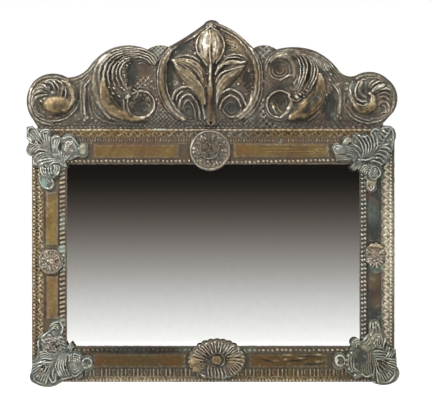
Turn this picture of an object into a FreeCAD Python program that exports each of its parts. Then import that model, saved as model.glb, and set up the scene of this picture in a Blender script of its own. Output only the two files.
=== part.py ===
import FreeCAD, Part
import math
import os

# Tin mirror: a half lapped wood frame clad in embossed tin, with a tall embossed crest.
# Millimetres. X to the right seen from the front, Z up, the wall on the side of +Y.
# The origin is on the wall, behind the middle of the glass.

os.makedirs("parts", exist_ok=True)
Vector = FreeCAD.Vector

# Frame
frame_width = 796.0
frame_height = 556.0
stile_width = 73.0
rail_width = 76.0
frame_thickness = 20.0
wall_gap = 8.0

# Glass and back board, in a stepped rebate cut from behind
glass_thickness = 3.0
glass_lip = 8.0
glass_clearance = 1.0
back_board_thickness = 4.0
back_board_lip = 18.0
back_board_clearance = 0.5

# Tin
tin_thickness = 0.8
crest_tin_thickness = 0.7
seat_gap = 0.1
flange_depth = 12.0

# Rail sheets, from the outer edge inwards
rim_width = 8.0
rim_height = 2.0
side_band_width = 26.0
side_panel_width = 30.0
top_band_width = 31.0
top_panel_width = 32.0
bottom_band_width = 28.0
bottom_panel_width = 33.0
panel_height = 1.6
bead_width = 9.0
bead_height = 3.0
bead_margin = 1.5

# Corner leaves and rosettes
leaf_span = 134.0
leaf_relief = 9.0
medallion_diameter = 90.0
medallion_relief = 6.0
bottom_rosette_width = 128.0
bottom_rosette_height = 88.0
bottom_rosette_relief = 8.0
side_rosette_width = 58.0
side_rosette_relief = 7.0

# Crest
crest_overhang = 9.0
crest_width = frame_width + 2 * crest_overhang
crest_height = 237.0
crest_relief = 14.0
crest_board_thickness = 12.0
crest_board_inset = 8.0
crest_ground_inset = 1.5
batten_width = 36.0
batten_length = 180.0
batten_housing = 50.0
batten_spacing = 140.0
batten_clearance = 0.1

# Fasteners
nail_shank_radius = 0.7
nail_head_radius = 2.3
nail_head_height = 1.2
nail_gap = 0.2
nail_ramp = 3.0
nail_length = 13.0
crest_nail_length = 9.0
side_nail_length = 10.0
screw_shank_radius = 1.6
screw_head_radius = 3.4
screw_head_height = 1.8
screw_slot_width = 0.8
screw_slot_depth = 0.9
lap_screw_length = 14.0
batten_screw_length = 16.0
back_board_screw_length = 10.0
hanger_screw_length = 9.0
hole_clearance = 0.1
lap_screw_offset = 20.0

# Ring hangers and wall pads
hanger_drop = 128.0
strap_width = 14.0
strap_length = 44.0
strap_thickness = 1.0
ring_wire_radius = 1.5
knuckle_clearance = 0.3
ring_inner_width = 20.0
ring_leg_length = 10.0
ring_corner_radius = 2.5
hanger_screw_pitch = 8.0
hanger_screw_margin = 5.0
pad_radius = 6.0

# Share of a screw's or nail's head height at its shoulder
head_shoulder_share = 0.7

# Overrun of every cut, and the widest gap that still counts as a closed outline
overrun = 2.0
closing_tolerance = 0.01

# Levels from the wall
wood_back = -wall_gap
wood_front = wood_back - frame_thickness
lap_level = wood_back - frame_thickness / 2
back_board_front = wood_back - back_board_thickness
glass_front = back_board_front - glass_thickness
ornament_level = wood_front - tin_thickness - bead_height - seat_gap
crest_board_back = wood_front + crest_board_thickness
crest_ground_level = wood_front - crest_tin_thickness
crest_panel_level = crest_ground_level - seat_gap

# Places across the face
half_width = frame_width / 2
half_height = frame_height / 2
opening_half_width = half_width - stile_width
opening_half_height = half_height - rail_width
crest_base = half_height + tin_thickness

# Reference photograph: where the face of the frame lies in it, in pixels
middle_px = (213.25, 255.25)
left_edge_px = 32.35
right_edge_px = 394.15
top_edge_px = 128.9
bottom_edge_px = 381.6
leaf_span_px = 61.0
crest_width_px = 370.0
crest_height_px = 107.6
crest_foot_px = 128.1


def chart(anchor_px, anchor, size, span_px, rise=None, rise_px=None):
    """Return functions from pixels to millimetres and back, about one anchor point."""
    across = size / span_px
    up = across if rise is None else rise / rise_px

    def place(x_px, y_px):
        return (anchor[0] + (x_px - anchor_px[0]) * across,
                anchor[1] + (anchor_px[1] - y_px) * up)

    def pixel(x, z):
        return (anchor_px[0] + (x - anchor[0]) / across,
                anchor_px[1] - (z - anchor[1]) / up)

    return place, pixel


crest_chart = chart((middle_px[0], crest_foot_px), (0, crest_base),
                    crest_width, crest_width_px, crest_height, crest_height_px)
top_left_chart = chart((left_edge_px, top_edge_px), (-half_width, half_height),
                       leaf_span, leaf_span_px)
top_right_chart = chart((right_edge_px, top_edge_px), (half_width, half_height),
                        leaf_span, leaf_span_px)
bottom_left_chart = chart((left_edge_px, bottom_edge_px), (-half_width, -half_height),
                          leaf_span, leaf_span_px)
bottom_right_chart = chart((right_edge_px, bottom_edge_px), (half_width, -half_height),
                           leaf_span, leaf_span_px)


# Outlines. A pair is the end of a straight line, four numbers are the middle and the end of an arc.

left_wing_outline_px = [
    (147, 49), (131, 45.2, 111, 48.6), (100, 55.3, 91, 64.3), (80.5, 74, 67.5, 77.2),
    (50, 73.4, 34, 81), (26.8, 100, 33, 119), (37, 125.5), (140, 125.5), (152, 117, 157, 103),
    (157, 97, 154.5, 91), (154.5, 68), (158.5, 61), (154, 53.5, 147, 49)]
right_wing_outline_px = [
    (277, 49), (293, 46.8, 315, 50.8), (328, 58.8, 337.5, 68.5), (345, 75, 356, 75),
    (372, 71.6, 388, 79.2), (397.2, 95, 393, 112), (383, 123), (383, 125.5), (283, 125.5),
    (269, 118, 265, 105), (264.4, 97, 264.4, 90), (264.4, 70), (267, 56, 277, 49)]
crest_centre_outline_px = [
    (169, 46.3), (189, 34.5, 203.5, 24.3), (211, 19.8, 219.5, 23.6), (232, 29.6, 241, 36),
    (247, 41.5, 253, 47.5), (261, 60, 263, 80), (260, 104, 243, 121), (243, 125.5), (181, 125.5),
    (181, 121), (163, 105, 156.5, 82), (159, 62, 169, 46.3)]
crest_outline_px = [
    (37, 124), (33, 119), (26.8, 100, 34, 81), (50, 73.4, 67.5, 77.2), (80.5, 74, 91, 64.3),
    (100, 55.3, 111, 48.6), (131, 45.2, 147, 49), (158, 44.6, 169, 46.3), (189, 34.5, 203.5, 24.3),
    (211, 19.8, 219.5, 23.6), (232, 29.6, 241, 36), (247, 41.5, 253, 47.5), (264, 44.3, 277, 49),
    (293, 46.8, 315, 50.8), (328, 58.8, 337.5, 68.5), (345, 75, 356, 75), (372, 71.6, 388, 79.2),
    (397.2, 95, 393, 112), (383, 123)]
top_left_outline_px = [
    (27, 127), (33, 126), (36, 129), (40, 131), (45.5, 127.5, 51.5, 131), (52, 137),
    (57, 134.5, 61.5, 138), (63, 137), (70, 133.5, 76, 139), (79.5, 145), (85, 142.5, 88, 149),
    (86, 157, 79, 156.5), (71, 160.5), (66, 161), (68, 167.5), (61, 168), (59.5, 175),
    (57, 178.5, 53, 178.5), (55, 184), (51, 190.5, 46, 189.5), (40.5, 185, 38, 178), (41, 175),
    (39, 169), (33, 164), (34, 157), (29.5, 155.5), (26.6, 150, 28.5, 145), (29.5, 141), (27, 138.5),
    (27, 127)]
top_right_outline_px = [
    (331.5, 150), (332, 145.8, 341, 144.5), (341, 142), (345, 136, 351, 138.5), (352.5, 137),
    (356, 132.5, 361, 135.5), (366, 134, 369, 137), (370, 131), (375, 127.6, 381, 128.2), (383, 125.4),
    (390, 126), (394.8, 131, 394.8, 140), (393, 150), (389, 153), (390, 157, 386.5, 159.5), (387, 163),
    (381, 166), (381.8, 173, 377, 179), (376, 184), (375, 191, 370, 192.5), (365, 188, 366, 181),
    (364, 176), (360, 172), (357, 169), (354, 171.5), (349.5, 167.5), (353, 163), (352, 160.5),
    (343, 162.5, 336, 159), (334, 155), (331.5, 150)]
bottom_left_outline_px = [
    (49.5, 325), (55, 320, 62, 321), (64.5, 327), (63.5, 334), (65, 340), (68, 345), (71.5, 341.6),
    (75.2, 346.5), (72, 350), (80, 351.5), (84, 356), (92, 356.5, 93, 362), (92, 369.5, 86, 369),
    (83.5, 374), (80, 378.5, 74, 377), (66, 379), (62, 382), (56, 385.3), (45, 386.6, 36, 383.5),
    (30.5, 379, 31.5, 372), (33, 361), (37, 356), (38, 349), (37.5, 342), (40, 335), (47.5, 331),
    (49.5, 325)]
bottom_right_outline_px = [
    (368.5, 323), (374, 318.8, 379.5, 323), (381.5, 330), (386, 337), (388, 346), (395.6, 349),
    (396.6, 366), (398, 378, 393, 382.6), (382, 384.8, 371, 381.5), (370.5, 377.5), (361, 376.5),
    (355, 379), (350.5, 374.5), (345.5, 371.5), (344, 367.2), (333.4, 367, 333, 360),
    (336, 352.6, 345, 355.5), (349, 351), (351.3, 346), (351.5, 339.5, 357.5, 338.3), (362, 342),
    (363, 337), (368, 333), (368.5, 323)]

# Raised work, as shares of the ornament's relief.
# A ridge is a list of points, half its width and its height share.
# A dome is its middle, its two radii, its turn in degrees and its height share.

left_wing_ridges_px = [
    ([(64, 80), (50, 76.8), (38, 81.5), (30.6, 92), (30.2, 106), (36, 117), (48, 122.3), (62, 120.3),
      (73, 113), (78, 103)], 2.4, 0.6),
    ([(47, 95.5), (39, 96.5), (35, 103), (36, 111), (42, 117.5)], 2.0, 0.5),
    ([(33, 97), (38, 91), (47, 91.5)], 2.4, 0.5),
    ([(38, 84), (44, 84.5), (50, 90)], 2.2, 0.5),
    ([(52, 80.5), (58, 85), (62, 93)], 2.5, 0.55),
    ([(62, 80), (71, 86), (75, 95), (72, 104)], 3.6, 0.65),
    ([(68, 79.5), (80, 78), (90, 68.5), (100, 59), (112, 52), (126, 48.6), (140, 49), (150, 53),
      (157, 61)], 2.4, 0.65),
    ([(93, 92), (95, 76), (102, 64), (113, 56), (127, 52.6), (141, 53.5), (152, 60)], 2.2, 0.7),
    ([(82, 84), (83, 100), (84.5, 116)], 2.8, 0.45),
    ([(88.5, 82), (89, 98), (92, 112)], 2.4, 0.45),
    ([(100, 70), (100.5, 88), (106, 104), (118, 113), (133, 118), (146, 115), (153, 106)], 7.0, 0.95),
    ([(95, 96), (100, 112), (112, 121), (130, 122.5), (146, 119)], 2.2, 0.5),
    ([(112, 62), (112.5, 76), (117, 88), (126, 97)], 2.4, 0.7),
    ([(118, 58), (118, 70), (121, 82), (127, 92)], 2.2, 0.6)]
left_wing_domes_px = [
    (58, 105, 14.5, 9.5, 0, 1.0), (109, 70, 7.0, 15, 0, 0.6), (123, 70, 6, 16, 0, 0.4),
    (149, 61, 5, 4, 30, 0.6), (129, 96, 4.5, 3.2, -20, 0.65), (141, 60, 12, 8, 0, 0.3)]
left_wing_rings_px = [(140.8, 104, 14.0, 12.6, 2.2, 0.6)]
left_wing_nails_px = [(41, 107), (78, 86), (130, 85), (147, 77), (104, 121)]

right_wing_ridges_px = [
    ([(359, 78), (372, 74.8), (386, 81.5), (393.2, 92), (393.4, 105), (387, 115.5), (374, 122),
      (361, 120), (351, 112.5), (346, 103)], 2.4, 0.6),
    ([(353.5, 80), (350, 88), (352.5, 97), (358, 101.5)], 2.2, 0.6),
    ([(359, 81), (355.5, 88), (357, 96), (361, 99.5)], 2.0, 0.5),
    ([(355, 104), (362, 107.5), (369, 105.5), (371.5, 97.5)], 6.5, 1.0),
    ([(369, 90), (376, 84.5), (386, 82.5)], 2.4, 0.5),
    ([(372, 92.5), (380, 87.5), (391, 88.5)], 2.4, 0.55),
    ([(377, 94), (386, 96.5), (390, 105), (386, 113)], 2.8, 0.55),
    ([(279, 50.5), (298, 50.5), (314, 54), (326, 61), (335, 70.5), (345, 78), (355, 78.5)], 2.4, 0.65),
    ([(290, 54), (306, 56), (318, 63), (326, 73), (333, 86)], 2.4, 0.6),
    ([(341, 84), (341, 100), (340, 116)], 2.8, 0.45),
    ([(334.5, 84), (335, 98), (333, 113)], 2.4, 0.45),
    ([(319.5, 72), (320, 90), (314, 104), (302, 113), (288, 118.5)], 7.0, 0.95),
    ([(326, 90), (324, 108), (311, 120.5), (292, 123)], 2.2, 0.5),
    ([(303, 56), (306.5, 66), (305.5, 78), (300, 90)], 2.2, 0.65),
    ([(309, 60), (312.5, 70), (311.5, 82), (305, 93)], 2.4, 0.65),
    ([(265.5, 70), (269, 60), (276, 54), (285, 53.5), (292, 59), (294, 68), (293, 76)], 2.2, 0.6),
    ([(278, 80), (287, 77), (296, 75.5)], 2.2, 0.5)]
right_wing_domes_px = [
    (279, 68, 13, 12, 0, 0.4), (300, 74, 6.5, 16, 0, 0.5), (296, 95.5, 4.5, 3.2, 25, 0.65),
    (318, 66, 7, 7, 0, 0.55)]
right_wing_rings_px = [(280, 103.8, 13.6, 12.8, 2.2, 0.6)]
right_wing_nails_px = [(381, 106), (346, 87), (293, 87), (271, 85), (318, 121)]

crest_centre_ridges_px = [
    ([(173, 49), (164.5, 62), (161.3, 80), (164, 97), (173, 111), (188, 120.5)], 4.4, 0.7),
    ([(250, 50), (257, 63), (259, 80), (256, 97), (247, 111), (232, 120.5)], 3.8, 0.7),
    ([(172, 47.5), (190, 37), (204, 27.8), (211, 23.8), (219, 27), (236, 35), (251, 48.5)], 2.5, 0.6),
    ([(205, 28.5), (198.5, 34), (196.5, 43), (199.5, 53), (205, 61)], 2.0, 1.0),
    ([(217, 28.5), (223, 34), (224.5, 43), (221.5, 53), (217, 61)], 2.0, 1.0),
    ([(211, 58), (210.6, 75), (210.6, 92)], 2.6, 1.0),
    ([(210.6, 90), (211, 106), (211, 119)], 4.6, 0.9),
    ([(174, 60.5), (184, 67), (196, 79), (204, 97)], 8.0, 0.9),
    ([(173, 98), (178, 90.5), (186, 88), (194, 93), (201, 104), (204, 116)], 3.2, 0.75),
    ([(180, 104), (186, 97.5), (193, 103), (196, 112)], 2.4, 0.65),
    ([(247, 61), (235, 65), (224, 76), (217, 92)], 6.5, 0.9),
    ([(216, 104), (222, 95.5), (231, 91.5), (240, 96), (245, 107)], 3.2, 0.75),
    ([(222, 106), (231, 98.5), (238, 105)], 2.4, 0.6)]
crest_centre_domes_px = [
    (211, 78, 47, 52, 0, 0.45), (204.5, 45, 6.6, 16, 0, 1.45), (216.5, 45, 6.0, 16, 0, 1.4),
    (189, 112, 4.5, 4, 0, 0.6), (235, 112, 6.5, 6, 0, 0.5)]
crest_centre_rings_px = []
crest_centre_nails_px = [(170, 84), (251, 84), (189, 48), (235, 47), (211, 123)]

top_left_ridges_px = [
    ([(55, 153), (50, 143), (46, 132)], 4.6, 0.95), ([(57, 152), (57, 139)], 4.2, 0.95),
    ([(53, 151), (42, 147), (32, 148), (29, 152)], 3.8, 0.95), ([(52, 155), (44, 155), (36, 158)], 3.4, 0.9),
    ([(52, 160), (43, 161.5), (35.5, 162.5)], 2.8, 0.8), ([(52, 150), (42, 141), (31, 131)], 5.4, 0.85),
    ([(60, 160), (67, 166.5)], 3.0, 0.7), ([(64, 137), (70, 136.5), (76, 141)], 3.0, 0.6),
    ([(40.5, 167), (42, 173), (47, 177)], 2.4, 0.8)]
top_left_domes_px = [
    (47, 170, 7, 7.5, 0, 1.0), (56, 169, 5, 6, 0, 0.9), (46, 184, 8.5, 5.4, 35, 0.85),
    (70, 149, 9, 9, 0, 1.0), (83, 150, 5.4, 6.6, 0, 0.9), (67, 157, 5, 4, 0, 0.6), (57, 157, 6, 6, 0, 1.1)]
top_left_nails_px = [(34, 142), (63, 145), (53, 176)]

top_right_ridges_px = [
    ([(368, 156), (367, 146), (361, 138)], 5.6, 1.0), ([(371, 152), (376, 142), (373, 131)], 4.2, 0.95),
    ([(372, 151), (380, 140), (389, 129)], 6.0, 0.9), ([(374, 151), (382, 148), (389, 149.5)], 3.4, 0.9),
    ([(374, 155), (387, 156.5)], 2.8, 0.85), ([(372, 159), (380, 161), (385, 163)], 2.8, 0.8),
    ([(362, 160), (354, 167.5)], 3.6, 0.75)]
top_right_domes_px = [
    (356.5, 138, 5, 5, 0, 0.8), (373.5, 173, 7.2, 7.4, 0, 1.0), (364, 168, 4.6, 4, 0, 0.8),
    (370.5, 186, 5.4, 6.2, 0, 0.85), (341, 149.5, 9.5, 6.4, 0, 0.9), (346, 140.5, 5.4, 4.4, 0, 0.75),
    (343, 158, 7, 3.8, 0, 0.65), (368, 156, 6.5, 6.5, 0, 1.1), (354, 152, 6, 7, 0, 0.7)]
top_right_nails_px = [(352, 143), (387, 140), (368, 164)]

bottom_left_ridges_px = [
    ([(60, 354), (50, 354.5), (41, 354)], 4.0, 0.9), ([(58, 358), (50, 362), (40, 361)], 3.6, 0.9),
    ([(57, 360), (46, 370), (36, 378)], 6.0, 0.85), ([(58, 362), (53, 372), (52, 381)], 4.2, 0.9),
    ([(62, 357), (58.5, 366), (62, 375)], 4.4, 1.0), ([(66, 351), (72, 345.5)], 3.2, 0.75),
    ([(63, 323), (63, 332)], 1.8, 0.8), ([(66, 377), (76, 375)], 3.4, 0.6)]
bottom_left_domes_px = [
    (55, 327, 7.4, 6.6, 0, 0.85), (52, 342, 12.5, 10, 0, 1.0), (76, 364, 9, 10.6, 0, 1.0),
    (87.4, 363, 5.6, 5.8, 0, 0.9), (63, 354, 5.6, 5.6, 0, 1.0), (41, 368, 8, 9, 0, 0.6)]
bottom_left_nails_px = [(44, 366), (67, 367), (58, 346)]

bottom_right_ridges_px = [
    ([(373, 352), (384, 351.5)], 2.6, 0.75), ([(373, 357.5), (384, 358.5)], 2.8, 0.75),
    ([(390, 352), (389, 360), (392, 367)], 3.2, 0.75), ([(366, 352), (366, 365), (367, 374)], 5.2, 0.9),
    ([(372, 360), (380, 370), (390, 378)], 6.0, 0.85), ([(372, 362), (377, 378)], 4.2, 0.8),
    ([(377, 360), (392, 371)], 4.2, 0.8), ([(384.5, 338), (383, 348)], 2.0, 0.8)]
bottom_right_domes_px = [
    (366, 348, 8.4, 6.4, 0, 1.1), (374, 325.5, 5.4, 5.6, 0, 0.8), (374, 340, 10.6, 9.6, 0, 1.0),
    (365.5, 339, 3.2, 4, 0, 0.8), (354.5, 361, 9.6, 11.4, 0, 1.1), (339.4, 360.4, 5.8, 6, 0, 0.9),
    (356.6, 343.2, 5, 4.8, 0, 0.8), (356, 374, 4.8, 4, 0, 0.65)]
bottom_right_nails_px = [(360, 369), (380, 362), (371, 331)]

# Rosettes
medallion_px = (210, 150.4)
medallion_span_px = 41.0
medallion_rays = 24
bottom_rosette_px = (217, 359.4)
bottom_rosette_petals = 26
bottom_rosette_span_px = 58.0
left_rosette_px = (51, 261.6)
left_rosette_petals = 8
right_rosette_px = (375, 255)
right_rosette_petals = 11
side_rosette_span_px = 26.4

# Medallion, as shares of its radius and of its relief
outer_cord_share = 0.95
outer_cord_half_share = 0.06
outer_cord_height_share = 0.65
inner_cord_share = 0.46
inner_cord_half_share = 0.07
inner_cord_height_share = 0.7
ray_middle_share = 0.7
ray_half_share = 0.2
ray_height_share = 0.3
ray_swing_share = 0.2
flower_share = 0.36
flower_height_share = 0.8
flower_swing_share = 0.1
flower_petals = 8

# Rosettes, as shares of their radius and of their relief
petal_height_share = 0.45
petal_swing_share = 0.4
bottom_boss_share = 0.22
bottom_scallop_share = 0.05
side_boss_share = 0.3
left_scallop_share = 0.1
right_scallop_share = 0.08
right_rosette_narrow_share = 0.86

# Nails of the rosettes, as shares of their half widths
medallion_reach_share = 0.59
bottom_reach_share = 0.36
side_reach_share = 0.46

# Fastener places, as shares of the frame's width and height or of the glass opening's
sheet_nail_share = 0.3
board_screw_share = 0.6

# Poles of an embossed surface along its longer side
crest_poles = 74
leaf_poles = 44
curve_steps = 5
spline_degree = 3
# Poles beyond a nail's head that stay level
level_poles = 1.3


def box(x0, x1, y0, y1, z0, z1):
    """Box between two corners."""
    low = Vector(min(x0, x1), min(y0, y1), min(z0, z1))
    return Part.makeBox(abs(x1 - x0), abs(y1 - y0), abs(z1 - z0), low)


def export(name, shape):
    """Write one node, and say so if it is not a sound solid."""
    if not shape.isValid() or not shape.Solids:
        print("unsound", name)
    shape.exportStep("parts/" + name + ".step")


def closed_wire(points, point):
    """Closed wire from pairs (line) and fours (arc), each placed by a function."""
    start = point(*points[0])
    edges = []
    here = start
    for entry in points[1:]:
        end = point(*entry[-2:])
        if len(entry) == 4:
            edges.append(Part.Arc(here, point(*entry[:2]), end).toShape())
        else:
            edges.append(Part.LineSegment(here, end).toShape())
        here = end
    if here.sub(start).Length > closing_tolerance:
        edges.append(Part.LineSegment(here, start).toShape())
    return Part.Wire(edges)


def outline_wire(points, y=0):
    """Closed wire in a plane of constant y."""
    return closed_wire(points, lambda x, z: Vector(x, y, z))


def placed_outline(points_px, place):
    """Outline in millimetres from one in pixels."""
    outline = []
    for entry in points_px:
        pairs = [place(entry[i], entry[i + 1]) for i in range(0, len(entry), 2)]
        outline.append(tuple(value for pair in pairs for value in pair))
    return outline


def smooth_path(points):
    """Points along a smooth curve through the given ones."""
    if len(points) < 3:
        return points
    path = []
    last = len(points) - 1
    for i in range(last):
        a = points[max(i - 1, 0)]
        b = points[i]
        c = points[i + 1]
        d = points[min(i + 2, last)]
        for k in range(curve_steps):
            t = k / curve_steps
            path.append(tuple(
                (2 * b[n] + (c[n] - a[n]) * t + (2 * a[n] - 5 * b[n] + 4 * c[n] - d[n]) * t ** 2
                 + (3 * b[n] - a[n] - 3 * c[n] + d[n]) * t ** 3) / 2 for n in (0, 1)))
    path.append(points[-1])
    return path


def ridge_height(x, y, path, half, share):
    """Rounded section of a ridge at one point."""
    nearest = half
    for i in range(len(path) - 1):
        ax, ay = path[i]
        bx, by = path[i + 1]
        dx = bx - ax
        dy = by - ay
        t = ((x - ax) * dx + (y - ay) * dy) / (dx * dx + dy * dy)
        t = min(max(t, 0), 1)
        nearest = min(nearest, math.hypot(x - ax - t * dx, y - ay - t * dy))
    return share * (1 - (nearest / half) ** 2)


def dome_height(x, y, dome):
    """Rounded height of an oval dome at one point."""
    cx, cy, rx, ry, turn, share = dome
    angle = math.radians(turn)
    u = ((x - cx) * math.cos(angle) + (y - cy) * math.sin(angle)) / rx
    v = ((y - cy) * math.cos(angle) - (x - cx) * math.sin(angle)) / ry
    return share * max(1 - u * u - v * v, 0)


def ring_height(x, y, ring):
    """Rounded section of an oval ring at one point."""
    cx, cy, rx, ry, half, share = ring
    turn = math.atan2((y - cy) / ry, (x - cx) / rx)
    away = math.hypot(x - cx - rx * math.cos(turn), y - cy - ry * math.sin(turn))
    return share * max(1 - (away / half) ** 2, 0)


def raised_work(ridges, domes, rings, pixel, relief):
    """Height of an embossed sheet over its seat, as a function of x and z."""
    paths = []
    for points, half, share in ridges:
        path = smooth_path(points)
        xs = [p[0] for p in path]
        ys = [p[1] for p in path]
        paths.append((path, half, share, min(xs) - half, max(xs) + half, min(ys) - half, max(ys) + half))

    def height(x, z):
        px, py = pixel(x, z)
        best = 0
        for path, half, share, x0, x1, y0, y1 in paths:
            if x0 < px < x1 and y0 < py < y1:
                best = max(best, ridge_height(px, py, path, half, share))
        for dome in domes:
            best = max(best, dome_height(px, py, dome))
        for ring in rings:
            best = max(best, ring_height(px, py, ring))
        return relief * best

    return height


def spline_knots(count):
    """Knots, their multiplicities and the even places of the poles of a clamped spline."""
    spans = count - spline_degree
    knots = [i / spans for i in range(spans + 1)]
    ends = spline_degree + 1
    multiples = [ends] + [1] * (spans - 1) + [ends]
    full = [knot for knot, times in zip(knots, multiples) for _ in range(times)]
    places = [sum(full[i + 1:i + 1 + spline_degree]) / spline_degree for i in range(count)]
    return knots, multiples, places


def level_share(x, z, nails, level_radius):
    """Share of the raised work at one point: none of it round a nail's head."""
    share = 1
    for nail_x, nail_z in nails:
        away = math.hypot(x - nail_x, z - nail_z)
        share *= min(max((away - level_radius) / nail_ramp, 0), 1)
    return share


def embossed_sheet(wire, height, nails, level, thickness, poles):
    """Thin sheet with raised work, cut to an outline, its back lying at a level."""
    bounds = wire.BoundBox
    margin = thickness
    width = bounds.XLength + 2 * margin
    rise = bounds.ZLength + 2 * margin
    longer = max(width, rise)
    level_radius = nail_head_radius + level_poles * longer / poles
    across = max(round(poles * width / longer), 2 * spline_degree)
    up = max(round(poles * rise / longer), 2 * spline_degree)
    knots_x, multiples_x, places_x = spline_knots(across)
    knots_z, multiples_z, places_z = spline_knots(up)
    grid = []
    for a in places_x:
        x = bounds.XMin - margin + a * width
        column = []
        for b in places_z:
            z = bounds.ZMin - margin + b * rise
            raised = height(x, z) * level_share(x, z, nails, level_radius)
            column.append(Vector(x, level - thickness - raised, z))
        grid.append(column)
    surface = Part.BSplineSurface()
    surface.buildFromPolesMultsKnots(grid, multiples_x, multiples_z, knots_x, knots_z,
                                     False, False, spline_degree, spline_degree)
    sheet = surface.toShape().extrude(Vector(0, thickness, 0))
    prism = Part.Face(wire).extrude(Vector(0, wood_front * 2, 0))
    return sheet.common(prism)


def turned(profile, centre, direction):
    """Solid of revolution of an (out, along) profile about a line from a centre."""
    edges = outline_wire(profile)
    solid = Part.Face(edges).revolve(Vector(0, 0, 0), Vector(0, 0, 1), 360)
    solid.Placement = FreeCAD.Placement(centre, FreeCAD.Rotation(Vector(0, 0, 1), direction))
    return solid


def nail(seat, inwards, length):
    """Round headed nail whose head sits at a point and whose shank points inwards."""
    mid_radius = nail_head_radius * math.sqrt(0.5)
    shoulder = -nail_head_height * head_shoulder_share
    profile = [(0, -nail_head_height), (mid_radius, shoulder, nail_head_radius, 0), (nail_shank_radius, 0),
               (nail_shank_radius, length - 2 * nail_shank_radius), (0, length)]
    return turned(profile, seat, inwards)


def screw(seat, inwards, length):
    """Round headed slotted screw, without its thread."""
    mid_radius = screw_head_radius * math.sqrt(0.5)
    shoulder = -screw_head_height * head_shoulder_share
    profile = [(0, -screw_head_height), (mid_radius, shoulder, screw_head_radius, 0),
               (screw_shank_radius, 0), (screw_shank_radius, length - 2 * screw_shank_radius), (0, length)]
    body = turned(profile, seat, inwards)
    slot = Part.makeBox(2 * screw_head_radius, screw_slot_width, screw_slot_depth,
                        Vector(-screw_head_radius, -screw_slot_width / 2, -screw_head_height))
    slot.Placement = FreeCAD.Placement(seat, FreeCAD.Rotation(Vector(0, 0, 1), inwards))
    return body.cut(slot)


def hole(seat, inwards, length, radius):
    """Clearance hole of a nail or a screw."""
    return Part.makeCylinder(radius + hole_clearance, length + hole_clearance + overrun,
                             seat - inwards * overrun, inwards)


def drilled(shape, holes):
    """Shape with the holes that meet it."""
    near = [drill for drill in holes if drill.BoundBox.intersect(shape.BoundBox)]
    return shape.cut(Part.Compound(near)) if near else shape


def glass_pocket():
    """Stepped room for the glass and its back board, open to the back."""
    glass_x = opening_half_width + glass_lip
    glass_z = opening_half_height + glass_lip
    board_x = opening_half_width + back_board_lip
    board_z = opening_half_height + back_board_lip
    back = wood_back + overrun
    glass_room = box(-glass_x, glass_x, glass_front, back, -glass_z, glass_z)
    board_room = box(-board_x, board_x, back_board_front, back, -board_z, board_z)
    return glass_room.fuse(board_room)


def wood_rail(sign):
    """Top (+1) or bottom (-1) rail, its ends halved from the back."""
    inner = sign * opening_half_height
    outer = sign * half_height
    rail = box(-half_width, half_width, wood_front, wood_back, inner, outer)
    for side in (-1, 1):
        lap = box(side * opening_half_width, side * (half_width + overrun), lap_level,
                  wood_back + overrun, inner - sign * overrun, outer + sign * overrun)
        rail = rail.cut(lap)
    return rail.cut(glass_pocket())


def wood_stile(sign):
    """Left (-1) or right (+1) stile, its ends halved from the front."""
    inner = sign * opening_half_width
    outer = sign * half_width
    stile = box(inner, outer, wood_front, wood_back, -half_height, half_height)
    for side in (-1, 1):
        lap = box(inner - sign * overrun, outer + sign * overrun, wood_front - overrun, lap_level,
                  side * opening_half_height, side * (half_height + overrun))
        stile = stile.cut(lap)
    return stile.cut(glass_pocket())


def sheet_section(width, band, panel):
    """Bent section of a rail sheet: (out from the outer edge, forward from the wood)."""
    rim_start = tin_thickness
    bead_start = width - bead_margin - bead_width
    raised = [(rim_start, rim_width, rim_height), (band, panel, panel_height),
              (bead_start, bead_width, bead_height)]
    inner_path = [(0, 0)]
    outer_path = [(-tin_thickness, tin_thickness)]
    for start, span, height in raised:
        end = start + span
        middle = start + span / 2
        inner_path += [(start, 0), (middle, height, end, 0)]
        outer_path += [(start, tin_thickness), (middle, tin_thickness + height, end, tin_thickness)]
    inner_path.append((width, 0))
    outer_path.append((width + tin_thickness, tin_thickness))
    return inner_path, outer_path


def reversed_path(path):
    """The same open path of pairs and fours, run the other way."""
    result = [path[-1][-2:]]
    for i in range(len(path) - 1, 0, -1):
        result.append(path[i][:-2] + path[i - 1][-2:])
    return result


def rail_sheet(side, width, band, panel):
    """Bent and raised sheet on one member of the frame, mitred at both ends."""
    side_x, side_z = side
    upright = side_z == 0
    inner_path, outer_path = sheet_section(width, band, panel)
    inner_flange = wood_front - glass_front + seat_gap
    section = [(-tin_thickness, -flange_depth)] + outer_path
    section += [(width + tin_thickness, inner_flange), (width, inner_flange)]
    section += reversed_path(inner_path) + [(0, -flange_depth)]
    outer_x = half_width + tin_thickness
    outer_z = half_height + tin_thickness
    inner_x = opening_half_width - tin_thickness
    inner_z = opening_half_height - tin_thickness
    along = outer_x + overrun
    if upright:
        bar_wire = closed_wire(section, lambda out, forward: Vector(
            side_x * (half_width - out), wood_front - forward, -along))
        run = Vector(0, 0, 2 * along)
        corners = [(side_x * outer_x, outer_z), (side_x * inner_x, inner_z),
                   (side_x * inner_x, -inner_z), (side_x * outer_x, -outer_z)]
    else:
        bar_wire = closed_wire(section, lambda out, forward: Vector(
            -along, wood_front - forward, side_z * (half_height - out)))
        run = Vector(2 * along, 0, 0)
        corners = [(outer_x, side_z * outer_z), (inner_x, side_z * inner_z),
                   (-inner_x, side_z * inner_z), (-outer_x, side_z * outer_z)]
    mitre = Part.Face(outline_wire(corners, wood_back)).extrude(Vector(0, 2 * wood_front, 0))
    return Part.Face(bar_wire).extrude(run).common(mitre)


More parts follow.
